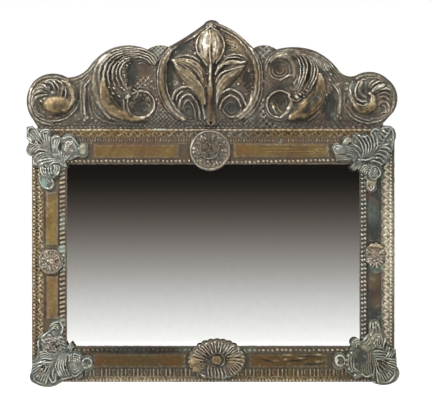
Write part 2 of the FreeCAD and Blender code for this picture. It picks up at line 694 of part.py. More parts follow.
def drawn_in(outline, inset):
    """Open outline, running clockwise, with each of its points moved inwards."""
    flat = []
    for entry in outline:
        flat += [(entry[i], entry[i + 1]) for i in range(0, len(entry), 2)]
    moved = []
    for i, (x, z) in enumerate(flat):
        before = flat[max(i - 1, 0)]
        after = flat[min(i + 1, len(flat) - 1)]
        run = math.hypot(after[0] - before[0], after[1] - before[1])
        moved.append((x + inset * (after[1] - before[1]) / run, z - inset * (after[0] - before[0]) / run))
    result = []
    for entry in outline:
        pairs = [moved.pop(0) for _ in range(len(entry) // 2)]
        result.append(tuple(value for pair in pairs for value in pair))
    return result


def crest_plate(inset, front, back):
    """Flat plate of the crest's outline, drawn in by an inset, standing on the top rail."""
    outline = drawn_in(placed_outline(crest_outline_px, crest_chart[0]), inset)
    points = [(outline[0][0], crest_base)] + outline + [(outline[-1][-2], crest_base)]
    return Part.Face(outline_wire(points, front)).extrude(Vector(0, back - front, 0))


def rosette_centre(centre_px, anchor_px, anchor, size, span_px):
    """Middle of a rosette in millimetres, from its place beside a frame edge."""
    place = chart(anchor_px, anchor, size, span_px)[0]
    return place(*centre_px)


def scalloped_outline(centre, radius_x, radius_z, petals, depth_share):
    """Oval outline of as many round scallops as there are petals."""
    points = []
    for i in range(2 * petals + 1):
        angle = math.pi * i / petals
        reach = 1 if i % 2 else 1 - depth_share
        points.append((centre[0] + reach * radius_x * math.cos(angle),
                       centre[1] + reach * radius_z * math.sin(angle)))
    return [points[0]] + [points[i] + points[i + 1] for i in range(1, 2 * petals, 2)]


def petal_height(centre, radius_x, radius_z, petals, relief, boss_share):
    """Height of a rosette: a raised boss and a ring of rounded petals."""
    def height(x, z):
        u = (x - centre[0]) / radius_x
        v = (z - centre[1]) / radius_z
        reach = math.hypot(u, v)
        turn = math.atan2(v, u)
        rounded = math.sqrt(abs(math.sin(petals * turn / 2)))
        boss = max(1 - (reach / boss_share) ** 2, 0)
        ring = max(1 - ((reach - (1 + boss_share) / 2) / ((1 - boss_share) / 2)) ** 2, 0)
        return relief * max(boss, ring * (petal_height_share + petal_swing_share * rounded))

    return height


def medallion_height(centre, radius, relief):
    """Height of the medallion: an outer cord, rays, an inner cord and a small flower."""
    def height(x, z):
        reach = math.hypot(x - centre[0], z - centre[1]) / radius
        turn = math.atan2(z - centre[1], x - centre[0])
        outer = max(1 - ((reach - outer_cord_share) / outer_cord_half_share) ** 2, 0)
        inner = max(1 - ((reach - inner_cord_share) / inner_cord_half_share) ** 2, 0)
        rays = max(1 - ((reach - ray_middle_share) / ray_half_share) ** 2, 0)
        rays *= ray_height_share + ray_swing_share * math.cos(medallion_rays * turn)
        flower = max(1 - (reach / flower_share) ** 2, 0)
        flower *= flower_height_share + flower_swing_share * math.cos(flower_petals * turn)
        return relief * max(outer_cord_height_share * outer, inner_cord_height_share * inner, rays, flower)

    return height


def ring_hanger(x, z):
    """Strap with a knuckle, and the D ring that hangs in it."""
    bore = ring_wire_radius + knuckle_clearance
    knuckle_radius = bore + strap_thickness
    axis_y = wood_back + knuckle_radius
    left = x - strap_width / 2
    along = Vector(1, 0, 0)
    knuckle = Part.makeCylinder(knuckle_radius, strap_width, Vector(left, axis_y, z), along)
    strap = box(left, left + strap_width, wood_back, wood_back + strap_thickness, z, z - strap_length)
    strap = strap.fuse(knuckle).cut(Part.makeCylinder(bore, strap_width, Vector(left, axis_y, z), along))
    half = ring_inner_width / 2 + ring_wire_radius
    corner = ring_corner_radius
    diagonal = corner * (1 - math.sqrt(0.5))
    legs = z - ring_leg_length
    path = [(x, z), (x + half - corner, z), (x + half - diagonal, z - diagonal, x + half, z - corner),
            (x + half, legs), (x, legs - half, x - half, legs), (x - half, z - corner),
            (x - half + diagonal, z - diagonal, x - half + corner, z), (x, z)]
    wire = outline_wire(path, axis_y)
    circle = Part.Wire(Part.makeCircle(ring_wire_radius, Vector(x, axis_y, z), along))
    ring = wire.makePipeShell([circle], True, True)
    return strap, ring


front = Vector(0, 1, 0)
back = Vector(0, -1, 0)

# Nails of the ornaments: seats on the sheets, holes through all that lies under them
holes = []


def front_nails(points, level, thickness, length):
    """Nails driven from the front, and their holes."""
    group = []
    for x, z in points:
        seat = Vector(x, level - thickness - nail_gap, z)
        group.append(nail(seat, front, length))
        holes.append(hole(seat, front, length, nail_shank_radius))
    return group


def placed_points(points_px, place):
    """Places in millimetres from places in pixels."""
    return [place(x, y) for x, y in points_px]


crest_place = crest_chart[0]
crest_nails = []
for nails_px in (left_wing_nails_px, right_wing_nails_px, crest_centre_nails_px):
    crest_nails += front_nails(placed_points(nails_px, crest_place), crest_panel_level,
                               crest_tin_thickness, crest_nail_length)

leaf_nails = []
for nails_px, leaf_chart in ((top_left_nails_px, top_left_chart), (top_right_nails_px, top_right_chart),
                             (bottom_left_nails_px, bottom_left_chart),
                             (bottom_right_nails_px, bottom_right_chart)):
    leaf_nails += front_nails(placed_points(nails_px, leaf_chart[0]), ornament_level, tin_thickness,
                              nail_length)

# Rosette places: the top and bottom ones follow the frame's edges, the side ones its stiles
medallion_centre = rosette_centre(medallion_px, (middle_px[0], top_edge_px), (0, half_height),
                                 medallion_diameter, medallion_span_px)
bottom_centre = rosette_centre(bottom_rosette_px, (middle_px[0], bottom_edge_px), (0, -half_height),
                              bottom_rosette_width, bottom_rosette_span_px)
left_centre = rosette_centre(left_rosette_px, (left_edge_px, middle_px[1]), (-half_width, 0),
                            side_rosette_width, side_rosette_span_px)
right_centre = rosette_centre(right_rosette_px, (right_edge_px, middle_px[1]), (half_width, 0),
                             side_rosette_width, side_rosette_span_px)


def pair_of_nails(centre, reach):
    """Two nail places left and right of a rosette's middle."""
    return [(centre[0] - reach, centre[1]), (centre[0] + reach, centre[1])]


medallion_nails = pair_of_nails(medallion_centre, medallion_diameter / 2 * medallion_reach_share)
bottom_nails = pair_of_nails(bottom_centre, bottom_rosette_width / 2 * bottom_reach_share)
left_nails = pair_of_nails(left_centre, side_rosette_width / 2 * side_reach_share)
right_nails = pair_of_nails(right_centre, side_rosette_width / 2 * side_reach_share)
rosette_nails = front_nails(medallion_nails + bottom_nails + left_nails + right_nails, ornament_level,
                            tin_thickness, nail_length)

# Nails that hold the rail sheets: through the outer flanges, and the top one through its face
flange_level = wood_front + flange_depth / 2
sheet_nails = []
for sign in (-1, 1):
    for share in (-1, 0, 1):
        seat = Vector(sign * (half_width + tin_thickness), flange_level,
                      share * sheet_nail_share * frame_height)
        sheet_nails.append(nail(seat, Vector(-sign, 0, 0), side_nail_length))
        holes.append(hole(seat, Vector(-sign, 0, 0), side_nail_length, nail_shank_radius))
for share in (-1, 0, 1):
    seat = Vector(share * sheet_nail_share * frame_width, flange_level, -half_height - tin_thickness)
    sheet_nails.append(nail(seat, Vector(0, 0, 1), side_nail_length))
    holes.append(hole(seat, Vector(0, 0, 1), side_nail_length, nail_shank_radius))
top_nail_z = half_height - (rim_width + top_band_width) / 2
sheet_nails += front_nails([(share * sheet_nail_share * frame_width, top_nail_z) for share in (-1, 1)],
                           wood_front, tin_thickness, side_nail_length)


def back_screws(points, level, length):
    """Screws driven from the back, and their holes."""
    group = []
    for x, z in points:
        seat = Vector(x, level, z)
        group.append(screw(seat, back, length))
        holes.append(hole(seat, back, length, screw_shank_radius))
    return group


lap_x = half_width - stile_width / 2
lap_z = half_height - rail_width / 2
lap_places = []
for side in (-1, 1):
    for level in (-1, 1):
        lap_places.append((side * (lap_x - lap_screw_offset), level * (lap_z + lap_screw_offset)))
        lap_places.append((side * (lap_x + lap_screw_offset), level * (lap_z - lap_screw_offset)))
lap_screws = back_screws(lap_places, wood_back, lap_screw_length)

batten_foot = half_height - batten_housing
batten_head = batten_foot + batten_length
batten_screw_margin = batten_width / 2
batten_places = []
for side in (-1, 1):
    x = side * batten_spacing / 2
    batten_places += [(x, batten_foot + batten_screw_margin / 2), (x, half_height - batten_screw_margin / 2),
                      (x, half_height + batten_screw_margin), (x, batten_head - batten_screw_margin)]
batten_screws = back_screws(batten_places, wood_back, batten_screw_length)

board_screw_x = opening_half_width + (glass_lip + back_board_lip) / 2
board_screw_z = opening_half_height + (glass_lip + back_board_lip) / 2
board_places = []
for side in (-1, 1):
    for share in (-1, 0, 1):
        board_places.append((side * board_screw_x, share * board_screw_share * opening_half_height))
        board_places.append((share * board_screw_share * opening_half_width, side * board_screw_z))
board_screws = back_screws(board_places, wood_back, back_board_screw_length)

hanger_z = half_height - hanger_drop
hanger_places = []
for side in (-1, 1):
    foot = hanger_z - strap_length + hanger_screw_margin
    hanger_places += [(side * lap_x, foot), (side * lap_x, foot + hanger_screw_pitch)]
hanger_screws = back_screws(hanger_places, wood_back + strap_thickness, hanger_screw_length)

# Wood
housings = []
battens = []
for side in (-1, 1):
    x = side * batten_spacing / 2
    half = batten_width / 2
    room = half + batten_clearance
    housings.append(box(x - room, x + room, crest_board_back, wood_back + overrun,
                        batten_foot - batten_clearance, half_height + overrun))
    battens.append(box(x - half, x + half, crest_board_back, wood_back, batten_foot, batten_head))
export("frame_top_rail", drilled(wood_rail(1).cut(Part.Compound(housings)), holes))
export("frame_bottom_rail", drilled(wood_rail(-1), holes))
export("frame_left_stile", drilled(wood_stile(-1), holes))
export("frame_right_stile", drilled(wood_stile(1), holes))
export("crest_batten_left", drilled(battens[0], holes))
export("crest_batten_right", drilled(battens[1], holes))
export("crest_board", drilled(crest_plate(crest_board_inset, wood_front, crest_board_back), holes))

# Glass and back board
glass_x = opening_half_width + glass_lip - glass_clearance
glass_z = opening_half_height + glass_lip - glass_clearance
export("mirror_glass", box(-glass_x, glass_x, glass_front, back_board_front, -glass_z, glass_z))
board_x = opening_half_width + back_board_lip - back_board_clearance
board_z = opening_half_height + back_board_lip - back_board_clearance
export("back_board", drilled(box(-board_x, board_x, back_board_front, wood_back, -board_z, board_z), holes))

# Rail sheets
rail_sheets = (
    ("top_rail_sheet", (0, 1), rail_width, top_band_width, top_panel_width),
    ("bottom_rail_sheet", (0, -1), rail_width, bottom_band_width, bottom_panel_width),
    ("left_rail_sheet", (-1, 0), stile_width, side_band_width, side_panel_width),
    ("right_rail_sheet", (1, 0), stile_width, side_band_width, side_panel_width))
for name, side, width, band, panel in rail_sheets:
    export(name, drilled(rail_sheet(side, width, band, panel), holes))

# Crest
export("crest_ground_sheet", drilled(crest_plate(crest_ground_inset, crest_ground_level, wood_front), holes))
crest_sheets = (
    ("crest_left_wing", left_wing_outline_px, left_wing_ridges_px, left_wing_domes_px,
     left_wing_rings_px, left_wing_nails_px),
    ("crest_right_wing", right_wing_outline_px, right_wing_ridges_px, right_wing_domes_px,
     right_wing_rings_px, right_wing_nails_px),
    ("crest_centre_panel", crest_centre_outline_px, crest_centre_ridges_px, crest_centre_domes_px,
     crest_centre_rings_px, crest_centre_nails_px))
for name, outline_px, ridges, domes, rings, nails_px in crest_sheets:
    wire = outline_wire(placed_outline(outline_px, crest_place))
    height = raised_work(ridges, domes, rings, crest_chart[1], crest_relief)
    sheet = embossed_sheet(wire, height, placed_points(nails_px, crest_place), crest_panel_level,
                           crest_tin_thickness, crest_poles)
    export(name, drilled(sheet, holes))

# Corner leaves
leaves = (
    ("corner_leaf_top_left", top_left_outline_px, top_left_ridges_px, top_left_domes_px,
     top_left_nails_px, top_left_chart),
    ("corner_leaf_top_right", top_right_outline_px, top_right_ridges_px, top_right_domes_px,
     top_right_nails_px, top_right_chart),
    ("corner_leaf_bottom_left", bottom_left_outline_px, bottom_left_ridges_px, bottom_left_domes_px,
     bottom_left_nails_px, bottom_left_chart),
    ("corner_leaf_bottom_right", bottom_right_outline_px, bottom_right_ridges_px,
     bottom_right_domes_px, bottom_right_nails_px, bottom_right_chart))
for name, outline_px, ridges, domes, nails_px, leaf_chart in leaves:
    wire = outline_wire(placed_outline(outline_px, leaf_chart[0]))
    height = raised_work(ridges, domes, [], leaf_chart[1], leaf_relief)
    sheet = embossed_sheet(wire, height, placed_points(nails_px, leaf_chart[0]), ornament_level,
                           tin_thickness, leaf_poles)
    export(name, drilled(sheet, holes))

# Medallion and rosettes
radius = medallion_diameter / 2
wire = Part.Wire(Part.makeCircle(radius, Vector(medallion_centre[0], 0, medallion_centre[1]), front))
height = medallion_height(medallion_centre, radius, medallion_relief)
export("top_medallion", drilled(embossed_sheet(wire, height, medallion_nails, ornament_level, tin_thickness,
                                               leaf_poles), holes))


def rosette(centre, radius_x, radius_z, petals, relief, boss_share, scallop_share, nails):
    """Petalled rosette cut to a scalloped outline."""
    outline = outline_wire(scalloped_outline(centre, radius_x, radius_z, petals, scallop_share))
    raised = petal_height(centre, radius_x, radius_z, petals, relief, boss_share)
    sheet = embossed_sheet(outline, raised, nails, ornament_level, tin_thickness, leaf_poles)
    return drilled(sheet, holes)


export("bottom_rosette", rosette(bottom_centre, bottom_rosette_width / 2, bottom_rosette_height / 2,
                                 bottom_rosette_petals, bottom_rosette_relief, bottom_boss_share,
                                 bottom_scallop_share, bottom_nails))
export("left_rosette", rosette(left_centre, side_rosette_width / 2, side_rosette_width / 2,
                               left_rosette_petals, side_rosette_relief, side_boss_share, left_scallop_share,
                               left_nails))
right_radius = side_rosette_width / 2 * right_rosette_narrow_share
export("right_rosette", rosette(right_centre, right_radius, side_rosette_width / 2, right_rosette_petals,
                                side_rosette_relief, side_boss_share, right_scallop_share, right_nails))

# Fasteners
export("crest_nails", Part.Compound(crest_nails))
export("corner_leaf_nails", Part.Compound(leaf_nails))
export("rosette_nails", Part.Compound(rosette_nails))
export("rail_sheet_nails", Part.Compound(sheet_nails))
export("lap_screws", Part.Compound(lap_screws))
export("batten_screws", Part.Compound(batten_screws))
export("back_board_screws", Part.Compound(board_screws))
export("hanger_screws", Part.Compound(hanger_screws))

# Ring hangers and wall pads
for side, name in ((-1, "left"), (1, "right")):
    strap, ring = ring_hanger(side * lap_x, hanger_z)
    export("hanger_strap_" + name, drilled(strap, holes))
    export("hanger_ring_" + name, ring)
pads = []
for side in (-1, 1):
    pads.append(Part.makeCylinder(pad_radius, wall_gap, Vector(side * lap_x, wood_back, -lap_z), front))
export("wall_pads", Part.Compound(pads))
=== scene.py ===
import math

import bpy
import numpy as np
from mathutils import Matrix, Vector, geometry


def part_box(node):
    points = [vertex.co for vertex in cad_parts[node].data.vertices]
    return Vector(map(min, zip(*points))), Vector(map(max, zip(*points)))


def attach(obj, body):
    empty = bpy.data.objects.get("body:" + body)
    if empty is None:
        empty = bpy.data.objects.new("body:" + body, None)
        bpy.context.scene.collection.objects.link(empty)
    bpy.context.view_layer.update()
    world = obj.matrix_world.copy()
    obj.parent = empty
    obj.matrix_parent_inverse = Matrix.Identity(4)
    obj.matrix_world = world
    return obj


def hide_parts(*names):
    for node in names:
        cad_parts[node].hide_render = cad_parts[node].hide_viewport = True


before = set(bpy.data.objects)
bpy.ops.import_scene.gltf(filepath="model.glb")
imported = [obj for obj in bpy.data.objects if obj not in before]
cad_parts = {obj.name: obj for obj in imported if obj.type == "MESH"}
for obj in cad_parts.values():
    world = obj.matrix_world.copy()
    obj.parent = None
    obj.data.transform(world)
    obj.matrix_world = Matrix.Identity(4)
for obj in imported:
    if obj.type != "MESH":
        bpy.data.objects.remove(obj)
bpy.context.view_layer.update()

# Tin mirror: the looks. Metres, in the frame of the solids: X to the right, Z up, the wall on the side of +Y.
# Every sheet of tin is a height map in pixels of the reference photograph, raised stroke by stroke with
# blunt and narrow punches as the real sheet was. Stroke heights are in millimetres.

mm = 0.001

# Levels and sizes that the solids give
half_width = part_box("frame_top_rail")[1].x
half_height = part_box("frame_left_stile")[1].z
wood_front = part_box("frame_top_rail")[0].y
glass_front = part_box("mirror_glass")[0].y
crest_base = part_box("crest_ground_sheet")[0].z
crest_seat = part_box("crest_ground_sheet")[0].y

# Tin
tin = 0.8 * mm
crest_tin = 0.7 * mm
seat_gap = 0.1 * mm
rail_relief = 3.0 * mm
flange_depth = 12.0 * mm
ornament_seat = wood_front - tin - rail_relief - seat_gap
nail_seat_radius = 2.5 * mm
nail_dimple_radius = 4.3 * mm

# How deep the foot of a broad volume is sunk, and its fillet, in millimetres
volume_foot = 2.0
volume_fillet = 2.0

# Where the object lies in the photograph, in pixels
middle_px = (213.25, 255.25)
left_edge_px = 32.35
right_edge_px = 394.15
top_edge_px = 128.9
bottom_edge_px = 381.6
crest_foot_px = 128.1
crest_pixel = 2.2 * mm
crest_rise_pixel = 2.2026 * mm
leaf_pixel = 2.1967 * mm


def chart(anchor_px, anchor, across, up=None):
    """Function from pixels to metres on the face, about one anchor point."""
    def place(x_px, y_px):
        return (anchor[0] + (x_px - anchor_px[0]) * across,
                anchor[1] + (anchor_px[1] - y_px) * (up or across))

    return place


crest_place = chart((middle_px[0], crest_foot_px), (0, crest_base), crest_pixel, crest_rise_pixel)
top_left_place = chart((left_edge_px, top_edge_px), (-half_width, half_height), leaf_pixel)
top_right_place = chart((right_edge_px, top_edge_px), (half_width, half_height), leaf_pixel)
bottom_left_place = chart((left_edge_px, bottom_edge_px), (-half_width, -half_height), leaf_pixel)
bottom_right_place = chart((right_edge_px, bottom_edge_px), (half_width, -half_height), leaf_pixel)


# Paths

def arc(cx, cy, rx, ry, start, end, steps=12):
    """Points along an oval arc, angles in degrees, 0 to the right and 90 down."""
    points = []
    for i in range(steps + 1):
        angle = math.radians(start + (end - start) * i / steps)
        points.append((cx + rx * math.cos(angle), cy + ry * math.sin(angle)))
    return points


def smooth_path(points, steps=6):
    """Points along a smooth curve through the given ones."""
    given = np.array(points, dtype=float)
    if len(given) < 3:
        return given
    before = np.vstack([given[:1], given[:-1]])[:-1]
    here = given[:-1]
    after = given[1:]
    beyond = np.vstack([given[2:], given[-1:]])
    curve = []
    for k in range(steps):
        t = k / steps
        curve.append((2 * here + (after - before) * t
                      + (2 * before - 5 * here + 4 * after - beyond) * t ** 2
                      + (3 * here - before - 3 * after + beyond) * t ** 3) / 2)
    path = np.stack(curve, axis=1).reshape(-1, 2)
    return np.vstack([path, given[-1:]])


def arc_through(start, middle, end, steps):
    """Points after the first along the circle through three points."""
    ax, ay = start
    bx, by = middle
    cx, cy = end
    twice = 2 * (ax * (by - cy) + bx * (cy - ay) + cx * (ay - by))
    if abs(twice) < 1e-6:
        return [end]
    a2 = ax * ax + ay * ay
    b2 = bx * bx + by * by
    c2 = cx * cx + cy * cy
    ox = (a2 * (by - cy) + b2 * (cy - ay) + c2 * (ay - by)) / twice
    oy = (a2 * (cx - bx) + b2 * (ax - cx) + c2 * (bx - ax)) / twice
    first = math.atan2(ay - oy, ax - ox)
    mid = math.atan2(by - oy, bx - ox)
    last = math.atan2(cy - oy, cx - ox)
    turn = (last - first) % (2 * math.pi)
    if (mid - first) % (2 * math.pi) > turn:
        turn -= 2 * math.pi
    radius = math.hypot(ax - ox, ay - oy)
    count = max(int(abs(turn) * radius * steps), 2)
    angles = [first + turn * i / count for i in range(1, count + 1)]
    return [(ox + radius * math.cos(angle), oy + radius * math.sin(angle)) for angle in angles]


def line_to(here, end, per_pixel):
    """Points after the first along a straight line."""
    count = max(int(math.dist(here, end) * per_pixel), 1)
    return [(here[0] + (end[0] - here[0]) * i / count, here[1] + (end[1] - here[1]) * i / count)
            for i in range(1, count + 1)]


def outline_loop(points_px, per_pixel=2.0):
    """Evenly stepped closed loop from pairs (line) and fours (arc), as an array."""
    loop = [tuple(points_px[0])]
    for entry in points_px[1:]:
        here = loop[-1]
        end = tuple(entry[-2:])
        if len(entry) == 4:
            loop += arc_through(here, entry[:2], end, per_pixel)
        else:
            loop += line_to(here, end, per_pixel)
    start = loop[0]
    loop += line_to(loop[-1], start, per_pixel)[:-1]
    if math.dist(loop[-1], start) < 0.5 / per_pixel:
        loop.pop()
    return np.array(loop)


def inside(loop, x, y):
    """Which points lie inside a closed loop."""
    result = np.zeros(x.shape, dtype=bool)
    ax, ay = loop[-1]
    for bx, by in loop:
        if ay != by:
            crosses = (ay > y) != (by > y)
            result ^= crosses & (x < (bx - ax) * (y - ay) / (by - ay) + ax)
        ax, ay = bx, by
    return result


def uneven(x, y, scale, seed):
    """Smooth random values from -1 to 1 over the face, a new one about every scale."""
    table = np.random.RandomState(seed).rand(64, 64) * 2 - 1
    u = x / scale
    v = y / scale
    i = np.floor(u).astype(int)
    j = np.floor(v).astype(int)
    s = u - i
    t = v - j
    s = s * s * (3 - 2 * s)
    t = t * t * (3 - 2 * t)
    low = table[j % 64, i % 64] * (1 - s) + table[j % 64, (i + 1) % 64] * s
    high = table[(j + 1) % 64, i % 64] * (1 - s) + table[(j + 1) % 64, (i + 1) % 64] * s
    return low * (1 - t) + high * t


def blurred(field, times):
    """Field smoothed with its neighbours a number of times."""
    for _ in range(times):
        padded = np.pad(field, 1, mode="edge")
        field = (padded[:-2, 1:-1] + 2 * padded[1:-1, 1:-1] + padded[2:, 1:-1]) / 4
        padded = np.pad(field, 1, mode="edge")
        field = (padded[1:-1, :-2] + 2 * padded[1:-1, 1:-1] + padded[1:-1, 2:]) / 4
    return field


def merged(first, second, fillet):
    """Higher of two surfaces, with a fillet where they meet."""
    close = np.clip(1 - np.abs(first - second) / fillet, 0, 1)
    return np.maximum(first, second) + fillet * close ** 2 / 4


def spread(marked, steps):
    """Distance from the marked points in grid steps, up to a number of steps."""
    far = np.where(marked, 0.0, 1e3)
    for _ in range(steps):
        padded = np.pad(far, 1, constant_values=1e3)
        straight = np.minimum.reduce([padded[:-2, 1:-1], padded[2:, 1:-1], padded[1:-1, :-2],
                                      padded[1:-1, 2:]])
        slanting = np.minimum.reduce([padded[:-2, :-2], padded[:-2, 2:], padded[2:, :-2], padded[2:, 2:]])
        far = np.minimum.reduce([far, straight + 1, slanting + math.sqrt(2)])
    return far


class Plate:
    """A sheet of tin on the pitch: its height, its wear with painted highlights and painted shade, and its
    colours on a grid of points.
    """

    def __init__(self, loop, grain=0.45, share=1.0, sink=0.2):
        self.loop = loop
        self.grain = grain
        self.share = share
        self.sink = sink
        low = loop.min(axis=0) - 2
        high = loop.max(axis=0) + 2
        self.x = np.arange(low[0], high[0], grain)
        self.y = np.arange(low[1], high[1], grain)
        # The worn field holds rubbed wear and dirt together with painted highlights and painted shade.
        self.height, self.ground, self.worn, self.gold, self.green, self.red = np.zeros(
            (6, len(self.y), len(self.x)))
        self.struck = np.zeros(self.height.shape, dtype=bool)

    def window(self, left, right, top, bottom):
        """Part of the grid and its points."""
        columns = slice(*np.searchsorted(self.x, (left, right)))
        rows = slice(*np.searchsorted(self.y, (top, bottom)))
        x, y = np.meshgrid(self.x[columns], self.y[rows])
        return (rows, columns), x, y

    def along(self, path, reach):
        """Distance from a path, side of it and run along it, near the path."""
        low = path.min(axis=0) - reach
        high = path.max(axis=0) + reach
        part, x, y = self.window(low[0], high[0], low[1], high[1])
        columns = self.x[part[1]]
        rows = self.y[part[0]]
        away = np.full(x.shape, 1e9)
        side = np.zeros(x.shape)
        run = np.zeros(x.shape)
        start = 0.0
        for (ax, ay), (bx, by) in zip(path[:-1], path[1:]):
            dx = bx - ax
            dy = by - ay
            length = math.hypot(dx, dy)
            if length < 1e-9:
                continue
            near = (slice(*np.searchsorted(rows, (min(ay, by) - reach, max(ay, by) + reach))),
                    slice(*np.searchsorted(columns, (min(ax, bx) - reach, max(ax, bx) + reach))))
            out_x = x[near] - ax
            out_y = y[near] - ay
            t = np.clip((out_x * dx + out_y * dy) / length ** 2, 0, 1)
            ex = out_x - t * dx
            ey = out_y - t * dy
            far = np.hypot(ex, ey)
            nearer = far < away[near]
            away[near] = np.where(nearer, far, away[near])
            side[near] = np.where(nearer, np.sign(dx * ey - dy * ex) * far, side[near])
            run[near] = np.where(nearer, start + t * length, run[near])
            start += length
        return part, away, side, run, start

    def from_edge(self, reach):
        """Distance from the outline, held far away where it is more than the reach."""
        far = np.full(self.height.shape, 1e9)
        part, away, side, run, length = self.along(np.vstack([self.loop, self.loop[:1]]), reach)
        far[part] = away
        return far

    def oval(self, cx, cy, rx, ry, turn=0.0):
        """Part of the grid about an oval, the place in it, and the distance from its middle, 1 at its rim."""
        reach = max(rx, ry)
        part, x, y = self.window(cx - reach, cx + reach, cy - reach, cy + reach)
        angle = math.radians(turn)
        u = ((x - cx) * math.cos(angle) + (y - cy) * math.sin(angle)) / rx
        v = ((y - cy) * math.cos(angle) - (x - cx) * math.sin(angle)) / ry
        return part, u, v, np.clip(np.hypot(u, v), 0, 1)

    def mound(self, cx, cy, rx, ry, height):
        """Broad soft volume under the strokes."""
        part, u, v, r = self.oval(cx, cy, rx, ry)
        volume = (height + volume_foot) * (1 - r ** 2) - volume_foot
        self.height[part] = merged(self.height[part], volume, volume_fillet)

    def hollow(self, cx, cy, rx, ry, depth, turn=0.0):
        """Broad hollow between the volumes, its colour darkened by dirt and by painted shade."""
        part, u, v, r = self.oval(cx, cy, rx, ry, turn)
        self.height[part] -= depth * (1 - r ** 2) ** 2
        self.worn[part] -= 0.3 * depth * (1 - r ** 2)

    def rub_or_paint_light(self, cx, cy, rx, ry, amount, turn=0.0):
        """Oval area made brighter, or duller with an amount below 0: rubbed wear, and also painted highlights
        and painted shade.
        """
        part, u, v, r = self.oval(cx, cy, rx, ry, turn)
        self.worn[part] += amount * (1 - r ** 2) ** 0.7

    def rubs_or_paint_light(self, *ovals):
        """Areas made brighter or duller, each given as for a single oval: rubbed wear, painted highlights and
        painted shade.
        """
        for oval in ovals:
            self.rub_or_paint_light(*oval)

    def swell(self, points, halves, height):
        """Long broad volume under the strokes."""
        path = smooth_path(points)
        part, away, side, run, length = self.along(path, max(halves))
        half = np.interp(run / length, np.linspace(0, 1, len(halves)), halves)
        u = np.clip(away / half, 0, 1)
        volume = (height + volume_foot) * (1 - u ** 2) - volume_foot
        self.height[part] = merged(self.height[part], volume, volume_fillet)

    def settle(self):
        """Take the volumes raised so far as the ground that the strokes stand on."""
        self.height = blurred(self.height, 8)
        self.ground = self.height.copy()

    def lift(self, part, relief, gold):
        """Raise a form over the ground, with a fillet where it meets what is there."""
        below = self.height[part]
        shape = self.ground[part] + self.share * relief - self.sink
        formed = relief > -1
        higher = formed & (shape > below)
        self.gold[part][higher] = gold
        self.struck[part] |= higher
        self.height[part] = np.where(formed, merged(shape, below, self.sink), below)

    def echoed(self, pitch, depth, seed):
        """Fine broken lines that follow the strokes over the ground between them."""
        far = blurred(np.minimum(spread(self.struck, 36), 36) * self.grain, 2)
        x, y = np.meshgrid(self.x, self.y)
        lines = np.cos(2 * math.pi * far / pitch) * np.clip(far / (0.5 * pitch), 0, 1)
        self.height += depth * lines * np.clip(0.6 + 0.9 * uneven(x, y, 3.0, seed), 0, 1.3)
        self.height += 0.8 * depth * np.clip(far - 0.4, 0, 1) * uneven(x, y, 1.3, seed + 1)

    def strokes(self, first, last, count, half, height, gold=0.0):
        """Set of lines that runs over from the first path to the last."""
        first = np.array(first, dtype=float)
        last = np.array(last, dtype=float)
        halves = half if isinstance(half, list) else [0.7 * half, half, half, 0.8 * half]
        for i in range(count):
            path = first + (last - first) * i / (count - 1)
            self.lobe(path, halves, height + 0.5 * (i % 2), gold=gold, ends=0.5)

    def fan(self, cx, cy, start, end, near, far, count, half, height, squash=1.0):
        """Lines that run out from a point, every other one starting farther out."""
        for i in range(count):
            angle = math.radians(start + (end - start) * i / (count - 1))
            inner = near + 0.4 * (far - near) * (i % 2)
            path = [(cx + reach * math.cos(angle), cy + squash * reach * math.sin(angle))
                    for reach in (inner, far)]
            self.lobe(path, [0.55 * half, half, half], height + 0.5 * (i % 2), ends=0.6)

    def crumpled(self, cx, cy, rx, ry, count, height, seed, gold=0.0):
        """Oval area filled with short curls at uneven places."""
        rng = np.random.RandomState(seed)
        for out, angle, start, size, more in rng.rand(count, 5):
            x = cx + rx * math.sqrt(out) * math.cos(2 * math.pi * angle)
            y = cy + ry * math.sqrt(out) * math.sin(2 * math.pi * angle)
            curl = arc(x, y, 0.9 + 0.8 * size, 0.9 + 0.6 * size, 360 * start, 360 * start + 220, 6)
            self.ridge(curl, 0.65, height - 1 + 2 * more, gold=gold)

    def lobe(self, points, halves, height, flutes=0, depth=0.0, gold=0.0, fullness=0.6, ends=1.0):
        """Long rounded form whose half width follows a list, with ridges along it."""
        path = smooth_path(points)
        part, away, side, run, length = self.along(path, max(halves))
        share = run / length
        half = np.interp(share, np.linspace(0, 1, len(halves)), halves)
        u = np.clip(away / half, 0, 1)
        taper = 1 - (1 - ends) * np.abs(2 * share - 1) ** 2
        shape = height * taper * (1 - u * u) ** fullness
        if flutes:
            across = np.clip(side / half, -1, 1)
            shape += depth / self.share * np.cos(math.pi * flutes * across) * (1 - u ** 4)
        elif max(halves) > 2.2:
            shape += 0.22 / self.share * np.cos(2 * math.pi * side / 1.9) * (1 - u ** 4)
        shape[u >= 1] = -1
        self.lift(part, shape, gold)

    def ridge(self, points, half, height, gold=0.0, ends=0.6):
        """Rounded line pushed up with a blunt tool."""
        self.lobe(points, [half, half], height, gold=gold, ends=ends)

    def crease(self, points, half, depth):
        """Line added to what is there: up for a rib, down for a groove."""
        path = smooth_path(points)
        part, away, side, run, length = self.along(path, half)
        u = np.clip(away / half, 0, 1)
        self.height[part] += depth * (1 - u * u) ** 2

    def cord(self, points, half, height, pitch, depth):
        """Rounded line crossed by even nicks."""
        path = smooth_path(points)
        part, away, side, run, length = self.along(path, half)
        u = np.clip(away / half, 0, 1)
        wave = np.cos(2 * math.pi * run / pitch)
        shape = height * (1 - u * u) ** 0.6 + depth * wave * (1 - u * u)
        shape[u >= 1] = -1
        self.lift(part, shape, 0)

    def beads(self, points, pitch, radius, height, base):
        """Row of round beads along a path."""
        path = smooth_path(points)
        part, away, side, run, length = self.along(path, radius)
        count = max(round(length / pitch), 1)
        step = length / count
        off = (run + step / 2) % step - step / 2
        r = np.clip(np.hypot(off, away) / radius, 0, 1)
        shape = base + height * np.sqrt(1 - r * r)
        shape[r >= 1] = -1
        self.lift(part, shape, 0)

